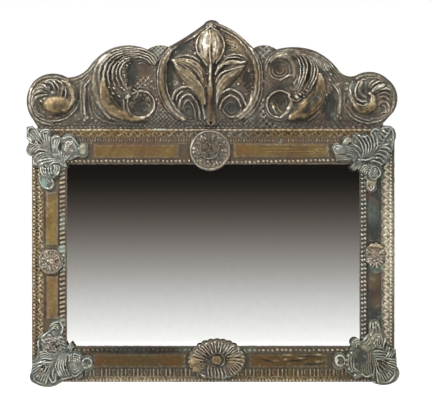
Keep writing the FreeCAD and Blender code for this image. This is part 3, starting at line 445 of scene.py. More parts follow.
    def dome(self, cx, cy, rx, ry, height, turn=0.0, petals=0, depth=0.0, gold=0.0, fullness=0.6):
        """Oval dome, with ribs that run out from its middle."""
        part, u, v, r = self.oval(cx, cy, rx, ry, turn)
        shape = height * (1 - r * r) ** fullness
        if petals:
            shape += depth * np.cos(petals * np.arctan2(v, u)) * r * (1 - r ** 4)
        shape[r >= 1] = -1
        self.lift(part, shape, gold)

    def tint(self, field, cx, cy, rx, ry, amount):
        """Soft oval patch of one of the colour fields."""
        part, u, v, r = self.oval(cx, cy, rx, ry)
        field[part] = np.maximum(field[part], amount * (1 - r ** 2) ** 0.7)

    def tints(self, field, *ovals):
        """Soft patches of one colour field, each as tint() takes it."""
        for oval in ovals:
            self.tint(field, *oval)

    def panel(self, left, right, top, bottom, height, gold):
        """Smooth raised field with a soft border."""
        part, x, y = self.window(left, right, top, bottom)
        edge = np.minimum(np.minimum(x - left, right - x), np.minimum(y - top, bottom - y))
        rise = np.clip(edge / 2.2, 0, 1)
        rise = rise * rise * (3 - 2 * rise)
        self.height[part] = np.maximum(self.height[part] * (1 - rise), height * rise)
        across = np.minimum(x - left, right - x) / min(7, 0.25 * (right - left))
        down = np.minimum(y - top, bottom - y) / min(7, 0.25 * (bottom - top))
        glow = np.clip(np.minimum(across, down) + 0.35 * uneven(x, y, 5.0, 7), 0, 1)
        self.gold[part] = gold * glow * rise

    def punched(self, cx, cy, rx, ry, pitch, depth, seed):
        """Oval area covered with the marks of a small round punch."""
        part, u, v, r = self.oval(cx, cy, rx, ry)
        x = cx + rx * u
        y = cy + ry * v
        sway = 0.5 * pitch * uneven(x, y, pitch * 1.5, seed)
        drift = 0.5 * pitch * uneven(x, y, pitch * 1.5, seed + 1)
        marks = np.cos(2 * math.pi * (x + sway) / pitch) * np.cos(2 * math.pi * (y + drift) / pitch)
        self.height[part] += depth * marks * (1 - r ** 4)

    def lattice(self, left, right, top, bottom, pitch, height, half=0.22):
        """Area crossed by two sets of slanting lines."""
        part, x, y = self.window(left, right, top, bottom)
        edge = np.minimum(np.minimum(x - left, right - x), np.minimum(y - top, bottom - y))
        fade = np.clip(edge / pitch, 0, 1)
        sway = 0.6 * uneven(x, y, 9.0, 5)
        lines = 0
        for slope in (1, -1):
            place = ((x + slope * y + sway) / pitch) % 1
            away = np.abs(place - 0.5) / half
            lines = np.maximum(lines, np.clip(1 - away ** 2, 0, 1))
        self.height[part] += height * lines * fade

    def hatched(self, points, half, pitch, depth, slant=0.0):
        """Band of nicks across a path, added to what is there."""
        path = smooth_path(points)
        part, away, side, run, length = self.along(path, half)
        u = np.clip(away / half, 0, 1)
        wave = np.cos(2 * math.pi * (run + slant * side) / pitch)
        self.height[part] += depth * wave * (1 - u ** 4)

    def finished(self, nails_px, pixel, edge, seed, sway=1.0, contrast=1.5):
        """Make the strokes uneven, add hammer marks, turn the edge down, sink the nail seats and find how
        proud each point stands, with painted shade and painted highlights in it.
        """
        x, y = np.meshgrid(self.x, self.y)
        relief = blurred(self.height, 1) - self.ground
        relief *= 1 + sway * (0.3 * uneven(x, y, 4.0, seed + 3) + 0.15 * uneven(x, y, 9.0, seed + 4))
        self.height = self.read(self.ground + relief, x + 0.45 * sway * uneven(x, y, 3.3, seed + 5),
                                y + 0.45 * sway * uneven(x, y, 3.3, seed + 6))
        self.height += 0.25 * (uneven(x, y, 5.0, seed) + 0.7 * uneven(x, y, 2.3, seed + 1)
                               + 0.5 * uneven(x, y, 1.2, seed + 2))
        if edge:
            fall = np.clip(self.from_edge(edge / pixel) * pixel / edge, 0, 1)
            self.height = np.maximum(self.height, 0) * np.sqrt(1 - (1 - fall) ** 2)
        self.gold = blurred(self.gold, 5)
        # How far each point stands proud of its neighbours: the broad term darkens wide hollows as painted
        # shade, and the worn field adds painted highlights and painted shade.
        self.proud_and_painted_light = (contrast * (self.height - blurred(self.height, 7))
                      + 0.35 * (self.height - blurred(self.height, 40)) + blurred(self.worn, 3))
        for nail_x, nail_y in nails_px:
            far = np.hypot(x - nail_x, y - nail_y) * pixel
            rise = np.clip((far - nail_seat_radius) / (nail_dimple_radius - nail_seat_radius), 0, 1)
            self.height *= rise * rise * (3 - 2 * rise)
            # Painted light: the nail dimple, which lies in real shade, is made brighter.
            self.proud_and_painted_light += 1.2 * (1 - rise)

    def read(self, field, x, y):
        """Values of a field between its grid points."""
        u = np.clip((x - self.x[0]) / self.grain, 0, len(self.x) - 1.001)
        v = np.clip((y - self.y[0]) / self.grain, 0, len(self.y) - 1.001)
        i = u.astype(int)
        j = v.astype(int)
        s = u - i
        t = v - j
        low = field[j, i] * (1 - s) + field[j, i + 1] * s
        high = field[j + 1, i] * (1 - s) + field[j + 1, i + 1] * s
        return low * (1 - t) + high * t


# Meshes

def triangulated(loop, x, y):
    """Triangles of a loop and the points inside it, anticlockwise seen from the front."""
    points = [Vector((a, -b)) for a, b in loop] + [Vector((a, -b)) for a, b in zip(x, y)]
    found = geometry.delaunay_2d_cdt(points, [], [list(range(len(loop)))], 1, 1e-7)
    order = np.array([originals[0] for originals in found[3]])
    return order[np.array(found[2])]


def lowest_near(field, times):
    """Field lowered to the lowest of its neighbours a number of times."""
    for _ in range(times):
        padded = np.pad(field, 1, mode="edge")
        field = np.minimum.reduce([padded[:-2, 1:-1], padded[2:, 1:-1], padded[1:-1, :-2],
                                   padded[1:-1, 2:], field])
    return field


def tin_sheet(name, plate, to_space, rim_height, back_depth, nodes, material):
    """Closed mesh of an embossed sheet: its front, its rim and a plainer back."""
    coarse = 4
    loop = plate.loop
    turn = np.roll(loop, -1, axis=0)
    if np.sum(loop[:, 0] * turn[:, 1] - turn[:, 0] * loop[:, 1]) > 0:
        loop = loop[::-1]
    x, y = np.meshgrid(plate.x, plate.y)
    away = plate.from_edge(3 * plate.grain)
    room = inside(loop, x, y)
    fine = room & (away > 0.6 * plate.grain)
    rough = room & (away > 2.5 * plate.grain)
    rough[np.arange(len(plate.y)) % coarse != 0, :] = False
    rough[:, np.arange(len(plate.x)) % coarse != 0] = False
    count = len(loop)
    front = triangulated(loop, x[fine], y[fine])
    back = triangulated(loop, x[rough], y[rough])
    front_x = np.concatenate([loop[:, 0], x[fine]])
    front_y = np.concatenate([loop[:, 1], y[fine]])
    front_height = plate.read(plate.height, front_x, front_y)
    back_x = np.concatenate([loop[:, 0], x[rough]])
    back_y = np.concatenate([loop[:, 1], y[rough]])
    under = lowest_near(plate.height, coarse + 2)
    back_height = np.maximum(plate.read(under, back_x, back_y) - back_depth, rim_height)
    back_height[:count] = rim_height
    places = np.concatenate([to_space(front_x, front_y, front_height * mm),
                             to_space(back_x, back_y, back_height * mm)])
    start = len(front_x)
    here = np.arange(count)
    after = np.roll(here, -1)
    rim = np.stack([here, here + start, after + start, after], axis=1)
    faces = front.tolist() + (back[:, ::-1] + start).tolist() + rim.tolist()
    mesh = bpy.data.meshes.new(name)
    mesh.from_pydata(places.tolist(), [], faces)
    mesh.polygons.foreach_set("use_smooth", np.ones(len(faces), dtype=bool))
    ends = np.zeros(2 * len(mesh.edges), dtype=int)
    mesh.edges.foreach_get("vertices", ends)
    ends = ends.reshape(-1, 2)
    on_front = (ends < count).all(axis=1)
    on_back = ((ends >= start) & (ends < start + count)).all(axis=1)
    mesh.edges.foreach_set("use_edge_sharp", on_front | on_back)
    blank = np.zeros(len(back_x))
    for field, values in (("proud_and_painted_light", plate.proud_and_painted_light), ("gilt", plate.gold), ("green", plate.green),
                          ("red", plate.red)):
        layer = mesh.attributes.new(field, "FLOAT", "POINT")
        layer.data.foreach_set("value", np.concatenate([plate.read(values, front_x, front_y), blank]))
    piece = bpy.data.objects.new(name, mesh)
    bpy.context.scene.collection.objects.link(piece)
    mesh.materials.append(material)
    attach(piece, "root")
    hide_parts(*nodes)


def on_face(place, seat):
    """Function from pixels and a height to a place in space, over a seat."""
    def to_space(x, y, height):
        across, up = place(x, y)
        return np.stack([across, seat - height, up], axis=1)

    return to_space


# Crest: outlines and nails as in the solids

left_wing_outline_px = [
    (147, 49), (131, 45.2, 111, 48.6), (100, 55.3, 91, 64.3), (80.5, 74, 67.5, 77.2),
    (50, 73.4, 34, 81), (26.8, 100, 33, 119), (37, 125.5), (140, 125.5), (152, 117, 157, 103),
    (157, 97, 154.5, 91), (154.5, 68), (158.5, 61), (154, 53.5, 147, 49)]
right_wing_outline_px = [
    (277, 49), (293, 46.8, 315, 50.8), (328, 58.8, 337.5, 68.5), (345, 75, 356, 75),
    (372, 71.6, 388, 79.2), (397.2, 95, 393, 112), (383, 123), (383, 125.5), (283, 125.5),
    (269, 118, 265, 105), (264.4, 97, 264.4, 90), (264.4, 70), (267, 56, 277, 49)]
crest_centre_outline_px = [
    (169, 46.3), (189, 34.5, 203.5, 24.3), (211, 19.8, 219.5, 23.6), (232, 29.6, 241, 36),
    (247, 41.5, 253, 47.5), (261, 60, 263, 80), (260, 104, 243, 121), (243, 125.5), (181, 125.5),
    (181, 121), (163, 105, 156.5, 82), (159, 62, 169, 46.3)]
crest_ground_outline_px = [
    (37.5, 128.1), (37.5, 124), (33.7, 118.6), (27.6, 100, 34.5, 81.5), (50, 74.1, 67.5, 77.9),
    (80.9, 74.6, 91.4, 64.9), (100.4, 55.9, 111.3, 49.3), (131, 45.9, 147, 49.7), (158, 45.3, 169.3, 47),
    (189.3, 35.1, 203.9, 24.9), (211, 20.5, 219.2, 24.2), (231.8, 30.2, 240.6, 36.6),
    (246.6, 42.1, 252.9, 48.2), (264, 45, 277, 49.7), (293, 47.5, 314.7, 51.5), (327.6, 59.3, 337.1, 69.1),
    (344.7, 75.7, 356, 75.7), (372, 72.3, 387.5, 79.7), (396.4, 95, 392.3, 111.7), (382.5, 122.6),
    (382.5, 128.1)]
left_wing_nails_px = [(41, 107), (78, 86), (130, 85), (147, 77), (104, 121)]
right_wing_nails_px = [(381, 106), (346, 87), (293, 87), (271, 85), (318, 121)]
crest_centre_nails_px = [(170, 84), (251, 84), (189, 48), (235, 47), (211, 123)]


def raise_crest_centre(p):
    """Cartouche: its rims, the bud, the stem, two leaves and two curls."""
    p.mound(211, 78, 50, 58, 3.5)
    p.swell([(170, 50), (162, 68), (163, 88), (170, 104), (184, 119)], [4, 7, 7, 7, 4], 5.5)
    p.swell([(252, 50), (258, 68), (257, 88), (252, 102), (240, 117)], [4, 6, 6, 6, 4], 5.5)
    p.swell([(172, 60), (184, 70), (197, 84), (204, 102)], [3, 10, 12, 6], 8.5)
    p.swell([(245, 62), (233, 69), (223, 82), (216, 100)], [3, 9, 10, 6], 8.5)
    p.swell([(211, 30), (210.7, 46), (210.5, 60)], [8, 17, 9], 10)
    p.swell([(210.6, 60), (210.3, 90), (211, 121)], [4, 7, 9], 8)
    p.mound(190, 106, 15, 16, 5.5)
    p.mound(233, 106, 15, 15, 5.5)
    for x, y, rx, ry, depth, turn in ((169, 77, 4.5, 20, 4.5, -4), (182, 46, 11, 6, 4, -35),
            (188, 109, 8, 9, 3, 0), (232, 108, 11, 8, 3.5, 0), (247, 79, 6, 11, 3, 0), (228, 48, 5, 6, 3, 0),
            (205, 78, 3, 12, 2.5, 0), (214, 70, 3, 14, 3, 10), (213, 104, 3, 12, 2.5, 0)):
        p.hollow(x, y, rx, ry, depth, turn)
    p.settle()
    # Rims on the left
    p.ridge([(169, 48), (163, 55), (160, 62), (157.8, 70), (157.4, 80), (158.7, 92), (161.8, 100),
            (166.8, 109), (173, 116), (182, 121)], 1.3, 7, ends=0.9)
    p.lobe([(171, 51), (165.5, 59), (162.5, 69), (161.8, 80), (163.2, 92), (167.4, 103), (173.5, 112),
           (184, 119)], [2.2, 2.9, 3.1, 3.1, 2.9, 2.4, 2], 9, gold=0.3)
    p.ridge([(173.5, 49), (168.7, 57), (166.7, 67), (166.2, 80), (167.7, 91), (171.7, 101), (177.7, 110),
            (188, 118)], 1.15, 10, ends=0.8)
    # Rims on the right
    p.ridge([(255, 52), (260.5, 62), (262, 72), (262.2, 82), (261.6, 93), (258.6, 102), (253.5, 110),
            (246, 117.5)], 1.2, 7, ends=0.9)
    p.ridge([(250.5, 49), (256, 58), (258.8, 68), (259.6, 80), (258.8, 92), (255, 102), (249.5, 110.5),
            (243, 117), (235, 120.5)], 1.5, 9, gold=0.2, ends=0.9)
    p.lobe([(247, 51), (253, 61), (255.6, 71), (256, 81), (255, 92), (251.5, 101), (245.5, 109.5),
           (237, 117)], [1.6, 2.2, 2.5, 2.5, 2.3, 2.1, 1.6], 9.5, gold=0.35)
    # Folds along the upper edges
    p.ridge([(171, 50.5), (181, 44.2), (191, 38.3), (200, 31.8), (206, 26.5), (211, 23)], 1.6, 8, ends=0.9)
    p.ridge([(175, 53), (184, 47), (191, 42)], 1, 7)
    p.ridge([(194, 36.5), (201, 30.5), (207, 27)], 0.9, 9)
    p.ridge([(213, 22.5), (222, 26.6), (231, 30.8), (239.6, 36.4), (246, 43), (251.5, 50), (256, 58)], 1.6,
            8, ends=0.9)
    p.ridge([(221, 29.6), (231, 34), (238.5, 39.5), (244.5, 46), (249.5, 53), (253.5, 61)], 1.1, 9.5)
    # Folded tip
    p.dome(210.5, 25, 4.6, 3.6, 10.5, gold=0.2)
    p.ridge([(206, 24.5), (210, 26.6), (214.5, 29.4), (219.5, 32)], 1, 14)
    p.ridge([(214, 23.5), (210.5, 27), (206, 30)], 1, 13)
    p.dome(206.2, 27.3, 1.6, 1.2, 13, turn=-30)
    p.dome(215.2, 26.2, 1.8, 1.2, 13, turn=30)
    # Bud: two halves and a middle rib inside a rim
    p.ridge([(207, 29.5), (202.5, 32.5), (198.3, 38), (196.3, 44.5), (197, 50.5), (199.8, 55.5),
            (203.5, 60.5), (207, 65)], 1.35, 13.5, gold=0.3, ends=0.9)
    p.ridge([(215, 29.5), (219.5, 33.3), (223, 39), (224.3, 45.5), (223.3, 51.5), (220.3, 57.5),
            (216.5, 63)], 1.35, 12.5, gold=0.3, ends=0.9)
    p.dome(210.6, 46, 12.6, 17, 12.4, gold=0.6, fullness=0.3)
    p.dome(210.8, 45.4, 10.4, 15.6, 15.8, gold=0.8, fullness=0.4)
    p.dome(205.4, 45.2, 6, 16, 19, turn=4, gold=0.95, fullness=0.42)
    p.dome(215.9, 45.6, 5.6, 15.6, 18, turn=-4, gold=0.75, fullness=0.42)
    p.lobe([(210, 31), (209.8, 43), (209.8, 57), (210.2, 62)], [1, 1.2, 1.2, 1.2], 20, gold=0.5)
    p.crease([(211.6, 44), (211.8, 52), (211.8, 63)], 1, -2.6)
    p.crease([(207.6, 33), (207.2, 45), (208, 57)], 0.9, -1.4)
    p.crease([(215, 34), (217.2, 45), (214.6, 57)], 1, -2.2)
    p.crease([(209, 33), (208.4, 45), (209, 57)], 0.8, -1.2)
    p.crease([(202.5, 37), (201.3, 46), (203.3, 55)], 1.6, -1.6)
    p.hatched([(198.5, 52), (202.5, 58), (207.5, 63)], 2.6, 1.5, 1, slant=0.8)
    p.hatched([(213.5, 31), (219, 37)], 1.6, 1.6, 0.6)
    # Stem
    p.lobe([(210.7, 60), (210.3, 72), (210.2, 86)], [1.5, 1.9, 2.4], 10, gold=0.5)
    p.lobe([(210.2, 82), (210.5, 96), (210.9, 108), (211, 121)], [2.3, 3.3, 4.5, 4.8], 8, gold=0.5,
           fullness=0.4)
    # Left leaf
    p.ridge([(171.5, 59.5), (178, 56.8), (186, 55.4), (194, 57), (200, 61.5)], 1, 10)
    p.lobe([(172, 60), (182, 60.5), (193, 64.5), (201, 72.5), (205.5, 86)], [1.2, 3.6, 5.2, 4.8, 2.2], 12.5,
           flutes=3, depth=0.9, gold=0.5)
    p.lobe([(173, 61.5), (180, 71), (189, 79), (198, 88), (204.5, 103)], [1.4, 5, 7.4, 6.4, 2.4], 11.5,
           flutes=4, depth=0.5, gold=0.6, fullness=0.5)
    p.crease([(174, 61.5), (184, 65.6), (192, 73), (199, 82), (204.3, 90)], 0.9, 3)
    p.crease([(177, 66), (186, 72), (194, 81), (200, 92)], 1.4, -1.2)
    p.crease([(180, 74), (190, 84), (199, 98)], 1.2, -0.9)
    # Right leaf
    p.ridge([(224, 58.6), (229, 55.6), (236, 54.4), (243, 56), (248, 59.6)], 1.1, 10, gold=0.3)
    p.ridge([(222.5, 62), (226, 58.9), (231, 57.3), (237, 57.4), (243, 59)], 1, 12)
    p.lobe([(215.5, 74), (219, 67.6), (225, 63.6), (234, 62), (246, 62)], [1.6, 2.4, 2.8, 2.6, 1], 13,
           flutes=3, depth=0.5, gold=0.5)
    p.ridge([(216, 82), (219.6, 75), (226, 70.8), (235, 68.6), (244, 65.6)], 1.15, 13.5, gold=0.2)
    p.lobe([(217.5, 99), (220, 88), (226, 80), (234, 74), (243, 67.5)], [1.8, 4.6, 6.2, 4.6, 1.5], 11,
           flutes=3, depth=0.7, gold=0.45)
    p.ridge([(216, 101), (218, 91), (223, 83)], 1, 13)
    p.crease([(221, 95), (227, 85), (236, 76)], 1.2, -1.2)
    # Curl at the foot on the left
    p.ridge([(172.5, 99), (174.5, 93), (179, 88.4), (186, 86.3), (193, 88.8), (198.5, 95.5), (202.5, 105),
            (204.8, 118)], 1.6, 10.5, gold=0.2, ends=0.9)
    p.ridge([(176.5, 100), (178.3, 94.4), (182.3, 91)], 1.1, 11, gold=0.7)
    p.ridge([(179.3, 107), (180.8, 99.5), (184.8, 95), (190, 94.4), (195.2, 99.8), (198.6, 108),
            (200.4, 119)], 1.4, 9.5, ends=0.9)
    p.ridge([(183.2, 109), (185, 102.4), (188.7, 100), (192.3, 103.8), (194.8, 111), (195.8, 119)], 1.1, 8,
            ends=0.9)
    p.dome(189.3, 113.5, 2.4, 3.6, 5.5)
    p.ridge(arc(188.6, 108.4, 9, 9.8, 70, 185, 10), 1, 7.4, ends=0.8)
    p.ridge(arc(188.2, 110.6, 3.6, 4.2, 0, 360, 14), 0.85, 7)
    p.ridge([(174, 106), (178.6, 114.6), (186, 119.6), (196, 120.6)], 0.9, 6.6)
    p.punched(189, 112, 6, 7, 2.6, 0.6, 11)
    # Curl at the foot on the right
    p.ridge([(216.3, 106), (218.3, 98), (223, 92), (230, 89.4), (237, 91.2), (242.6, 97), (246, 105)], 1.6,
            10.5, ends=0.9)
    p.ridge([(220, 108), (222.5, 101), (227, 96.6), (232, 95.4), (237.6, 99), (241, 106)], 1.4, 9.5,
            gold=0.4, ends=0.9)
    p.ridge([(224, 109), (227, 104), (232, 102), (236.4, 105.8)], 1, 8)
    p.dome(236.5, 113, 4, 2.6, 6)
    p.ridge(arc(232, 107, 9.2, 9.8, 10, 165, 12), 1, 7.6, ends=0.8)
    p.ridge(arc(232, 108.6, 4.6, 4.6, 0, 360, 14), 0.85, 6.8)
    p.ridge([(252.6, 98), (251, 106), (245.4, 113.6), (238, 118.6)], 0.9, 9.4)
    p.punched(234, 112, 8, 6, 2.6, 0.8, 13)
    p.ridge([(249, 103), (247, 109.5), (241.5, 115.5), (234, 118.4)], 1.1, 8.5)
    p.lobe([(252, 91), (251, 98), (249.6, 104)], [1.3, 2, 1.2], 10.5)
    # Studs and punched grounds
    for x, y, radius, height in ((184, 83.5, 1.8, 10.5), (195.4, 53.6, 1.5, 9.5), (224.6, 56, 1.4, 10.5),
            (207, 74, 1.2, 10), (207.2, 86.6, 1.1, 10), (238.4, 84, 1.5, 9.5), (245, 83.4, 1.4, 8),
            (251.6, 77.4, 1.4, 8), (252.4, 87.4, 1.3, 9), (249, 71, 1.3, 8), (213.8, 68, 1.1, 9.5)):
        p.dome(x, y, radius, radius, height, fullness=0.5)
    p.tint(p.gold, 236, 43, 15, 11, 0.7)
    for x, y, rx, ry in ((188, 46, 9, 5), (187, 109, 8, 9), (232, 109, 10, 8), (228, 49, 5, 3),
            (175, 82, 4, 8)):
        p.tint(p.green, x, y, rx, ry, 0.07)
    p.strokes([(222, 40), (230, 41), (238, 46), (245, 55)], [(226, 52), (230, 50), (236, 51), (243, 58)], 4,
              0.9, 5, gold=0.5)
    p.punched(234, 42, 14, 11, 2.4, 0.9, 17)
    p.hatched([(179, 51), (194, 38)], 5, 2.6, 0.6, slant=0.7)
    p.punched(174, 74, 5, 14, 2.4, 0.9, 19)
    p.crumpled(187, 47, 10, 5, 16, 5.6, 53)
    p.crumpled(248, 80, 5, 11, 14, 5.6, 59)
    p.crumpled(178, 82, 7, 5, 8, 5.6, 63)
    p.tint(p.gold, 257, 78, 5, 18, 0.6)
    p.tint(p.gold, 162, 86, 4, 22, 0.6)
    p.lattice(168, 256, 118.5, 127, 3.8, 2.4, half=0.2)
    # Painted highlights on the bud, the rims and the curls, and painted shade along the stem, in the hollows
    # and along the foot.
    p.rubs_or_paint_light((204, 44, 5.4, 14, 3, 5), (215.4, 44, 2.4, 12, 1.2, -5), (210.5, 47, 15, 19, 0.8),
           (210.8, 40, 3, 12, 0.4), (196.6, 44, 2, 12, 1.2), (221.5, 34, 4, 3, 1, 50),
           (210.8, 106, 6, 18, -1.9), (190, 78, 12, 6, -0.1, 40), (200, 98, 5, 14, -1, -20),
           (232, 80, 10, 4, -0.8, -35), (190, 108, 11, 12, -1.1), (231, 107, 11, 10, -1.9),
           (250.5, 101, 2, 6, 1.4), (249, 113, 8, 2.4, 2, -45), (237, 42, 10, 8, 0.9, 30),
           (186, 46, 11, 7, -1.1, -35), (171, 78, 4, 20, -1.7), (163, 84, 4, 30, -1.3),
           (248, 80, 6, 14, -1.4), (257, 76, 5, 20, -1), (211, 122, 46, 6, -1))
    p.tint(p.red, 210.6, 104, 5, 18, 0.8)


def raise_left_wing(p):
    """Left wing: the volute with its bulge, and the great leaf that rolls into a ring."""
    p.mound(56, 99, 29, 26, 5)
    p.swell([(40, 90), (52, 84), (66, 88), (72, 100), (64, 110)], [5, 8, 8, 8, 6], 7.5)
    p.mound(56, 104, 19, 13, 9)
    p.swell([(85, 84), (84.6, 100), (86, 118)], [6, 6, 6], 4.5)
    p.swell([(122, 52), (107, 57), (99, 71), (98, 88), (103, 101), (114, 111), (128, 117), (144, 117)],
            [5, 9, 13, 14, 14, 12, 8, 4], 9.5)
    p.swell([(100, 58), (114, 51), (128, 51), (142, 54), (154, 62)], [6, 9, 9, 8, 5], 6.5)
    p.swell([(126, 60), (124, 72), (127, 84), (128, 96)], [7, 9, 8, 5], 6)
    p.mound(141, 104, 17, 16, 4)
    for x, y, rx, ry, depth, turn in ((131, 74, 8, 18, 5, 0), (141, 104, 11, 10, 3.5, 0),
            (88, 104, 4, 16, 2.5, 0), (41, 107, 5, 7, 3, 0), (146, 70, 9, 8, 2, 0), (62, 115, 13, 4, 3, 0),
            (76, 98, 4, 10, 2, 0)):
        p.hollow(x, y, rx, ry, depth, turn)
    p.settle()
    # Rims of the volute
    p.ridge([(68, 80.5), (60, 77.4), (50, 76.6), (40, 79.8), (33.4, 86), (29.8, 96), (29.8, 106),
            (33.4, 115), (40, 121), (52, 124.5)], 1.5, 7.5, ends=0.9)
    p.ridge([(60, 80.6), (50, 79.6), (42, 82), (36, 87), (32.7, 96), (32.4, 105), (35.6, 113), (42, 119),
            (52, 122)], 1.1, 9, ends=0.8)
    p.ridge([(79, 100), (77.5, 106), (73.6, 112), (67, 117.4), (58, 120.4), (48, 120.8)], 1.2, 8.5, ends=0.8)
    p.ridge([(76.4, 101), (75, 106), (71.4, 111), (65.4, 115.4), (57, 118)], 0.9, 7.5)
    p.ridge([(36.4, 99), (35.2, 106), (38, 112.6), (44, 117)], 1.4, 7)
    # Fronds of the volute
    p.lobe([(33.6, 104), (35.4, 98.4), (40, 95.4), (47, 94.6)], [1.2, 1.8, 1.8, 1], 9.5)
    p.lobe([(32.6, 99), (34.6, 94), (39.6, 91.4), (47, 92)], [1, 2.2, 2.2, 1], 8.5, flutes=2, depth=0.4)
    p.lobe([(33.4, 92), (36.6, 88), (42, 87), (48, 90)], [1, 2, 1.8, 1], 8)
    p.ridge([(38, 84.6), (43, 84.4), (47, 87), (50, 91)], 1.3, 10.5)
    p.ridge([(45, 81.8), (50, 82.4), (54, 86), (55.4, 92)], 1.3, 8.5)
    p.ridge([(51, 79.6), (55.6, 82.4), (58.6, 87), (59, 93)], 1.2, 9.5)
    p.ridge([(56, 79), (61, 82), (63.6, 87), (62, 94)], 1.2, 9.5)
    p.dome(53.4, 92.4, 2.4, 1.8, 9.5)
    p.dome(49.6, 88, 1.6, 1.4, 8.5)
    p.hatched([(36, 90), (46, 83), (56, 84)], 2.4, 1.8, 0.5)
    p.dome(45, 98.8, 2.3, 2.1, 9)
    p.dome(41.4, 101.4, 1.5, 1.5, 7.5)
    # Leaf on the right of the volute
    p.lobe([(63, 80.6), (69, 84), (73.6, 91), (74, 100), (69, 108)], [1.6, 3, 4, 3.4, 1.6], 10.5, flutes=2,
           depth=0.5, gold=0.5)
    p.ridge([(66, 87.6), (66.2, 93), (65.4, 98)], 1, 11.5)
    p.ridge([(61.6, 88), (62, 93), (60.8, 97)], 1.3, 10.5)
    p.ridge([(64.6, 98), (64.4, 100.6), (66.4, 102), (68.8, 100.4)], 0.9, 11)
    p.hatched([(68, 85), (73, 92), (73, 101)], 3, 2.4, 0.6, slant=0.5)
    # Bulge
    p.dome(57, 105, 14.5, 9.6, 14, turn=4, gold=0.9, fullness=0.5)
    p.dome(52.4, 100.6, 5.6, 4.6, 13.6, turn=-20, gold=1)
    p.crease([(46, 110), (54, 113), (66, 112)], 1.8, -1.2)
    # Between the volute and the leaf
    p.ridge([(81.4, 82), (80.6, 92), (80.8, 104), (81.6, 116)], 1.6, 6.5, ends=0.8)
    p.ridge([(85, 88), (84.6, 98), (84.8, 108), (86, 118)], 1.4, 7.5, gold=0.2, ends=0.8)
    p.ridge([(90.6, 79.6), (87, 83.6), (83.6, 88)], 1.1, 9.5)
    p.ridge([(89.6, 84), (88.8, 96), (89.8, 108), (92, 115)], 1.1, 6.5, ends=0.8)
    p.ridge([(72, 79.6), (80, 77.6), (88, 71.6), (96, 63)], 1.3, 6.5)
    p.ridge([(76, 82.4), (84, 78.6), (92, 70.6)], 1.1, 5.5)
    for x, y in ((81, 80.6), (84.4, 113.8), (88, 117.6), (92.4, 118), (84.6, 120.4), (79.4, 119), (96, 121)):
        p.dome(x, y, 1.9, 1.3, 7, turn=-40)
    # Great leaf: lines nested in each other, from the top edge round to the belly
    p.lobe([(108, 55), (100.6, 62), (96.4, 72), (95, 84), (97, 96), (102, 108), (110, 118)],
           [2, 3.6, 4, 3.6, 3.2, 3, 2], 7.5, gold=0.2)
    p.strokes([(139, 48.8), (128, 47.8), (113, 51.2), (102.4, 58.4), (96.4, 68), (94.4, 79), (95.4, 90)],
              [(136.6, 59), (129.6, 60), (123.4, 64), (120.4, 70), (120.6, 77), (123.4, 83.6), (127.6, 89)],
              7, [0.7, 0.85, 0.85, 1, 1.3, 1.5, 1.5, 0.9], 10.5)
    p.strokes([(159, 62.6), (153.4, 54.4), (143.4, 49.8), (133, 48.4)], [(150.8, 64.4), (147, 59.6),
              (140.6, 57.2), (134, 57.4)], 4, 0.9, 11)
    p.lobe([(97, 67), (101, 61.6), (105.4, 57), (110, 54)], [1.6, 3, 2.8, 1.2], 12, gold=0.1)
    for x, y, turn in ((119, 62, 60), (123.4, 61, 20), (120.4, 70.4, 80), (124.8, 75.6, 40), (122, 67, 30),
            (127.6, 66, 70), (121.4, 79.6, 60), (126.4, 84.6, 80), (130.6, 63.4, 40), (124, 89.6, 30)):
        p.dome(x, y, 1.5, 1, 11, turn=turn)
    p.crumpled(128, 76, 6, 14, 14, 6.4, 61)
    p.crease([(99, 64), (97, 76), (98, 90), (103, 104)], 0.9, -1.6)
    # Smooth belly that rolls into the ring
    p.lobe([(104, 76), (103.6, 88), (107.4, 100), (115.4, 109.4), (126, 115.6), (138, 118.6), (149, 115)],
           [1.6, 4.4, 7, 7.4, 5, 3.4, 2], 13, gold=0.8, fullness=0.5)
    p.crease([(110, 88), (111, 98), (117, 106), (127, 112)], 1.4, -1.4)
    p.ridge([(95.4, 94), (98.4, 103), (103, 111), (110, 117.6), (120, 121)], 1.1, 7.5)
    p.ridge([(94, 112), (101, 119), (112, 122.6), (126, 123.4)], 1.2, 5.5)
    # Small leaf ends under the flutes
    for x, y, rx, ry, turn in ((109.3, 87.4, 1.5, 1.1, 20), (114.4, 88.4, 2.6, 1.2, 50),
            (119.4, 96.4, 2.2, 1.4, 25), (113.6, 93.6, 2.4, 1.5, 30), (121.6, 87.6, 1.6, 1.1, 20)):
        p.dome(x, y, rx, ry, 13, turn=turn)
    p.dome(128, 96.6, 4.6, 2.6, 13.5, turn=-28)
    p.crease([(125, 98.4), (131, 94.6)], 0.8, -1.6)
    p.lobe([(134, 89), (138, 93), (136, 98)], [1, 1.6, 0.8], 9)
    # Ring and its brushed inside
    p.ridge([(124, 100), (124.6, 108), (128.4, 115), (134.6, 119)], 1.4, 9)
    p.ridge(arc(141, 104, 13.6, 13.2, -128, 205, 20), 1.25, 10.5, gold=0.15, ends=0.9)
    p.ridge(arc(141.4, 104.6, 16.2, 15.6, -20, 130, 12), 1, 8, ends=0.8)
    for i in range(7):
        p.ridge([(128.8 + 2 * i, 101.4 + 0.2 * i), (132.4 + 2 * i, 108.4 + 0.5 * i)], 0.8, 6)
    for x, y in ((134, 99), (138, 97.6), (143, 98.6), (147.6, 100.4), (149, 105)):
        p.dome(x, y, 1.6, 1.1, 6, turn=40)
    p.crumpled(141, 104, 10, 9, 26, 6.2, 29)
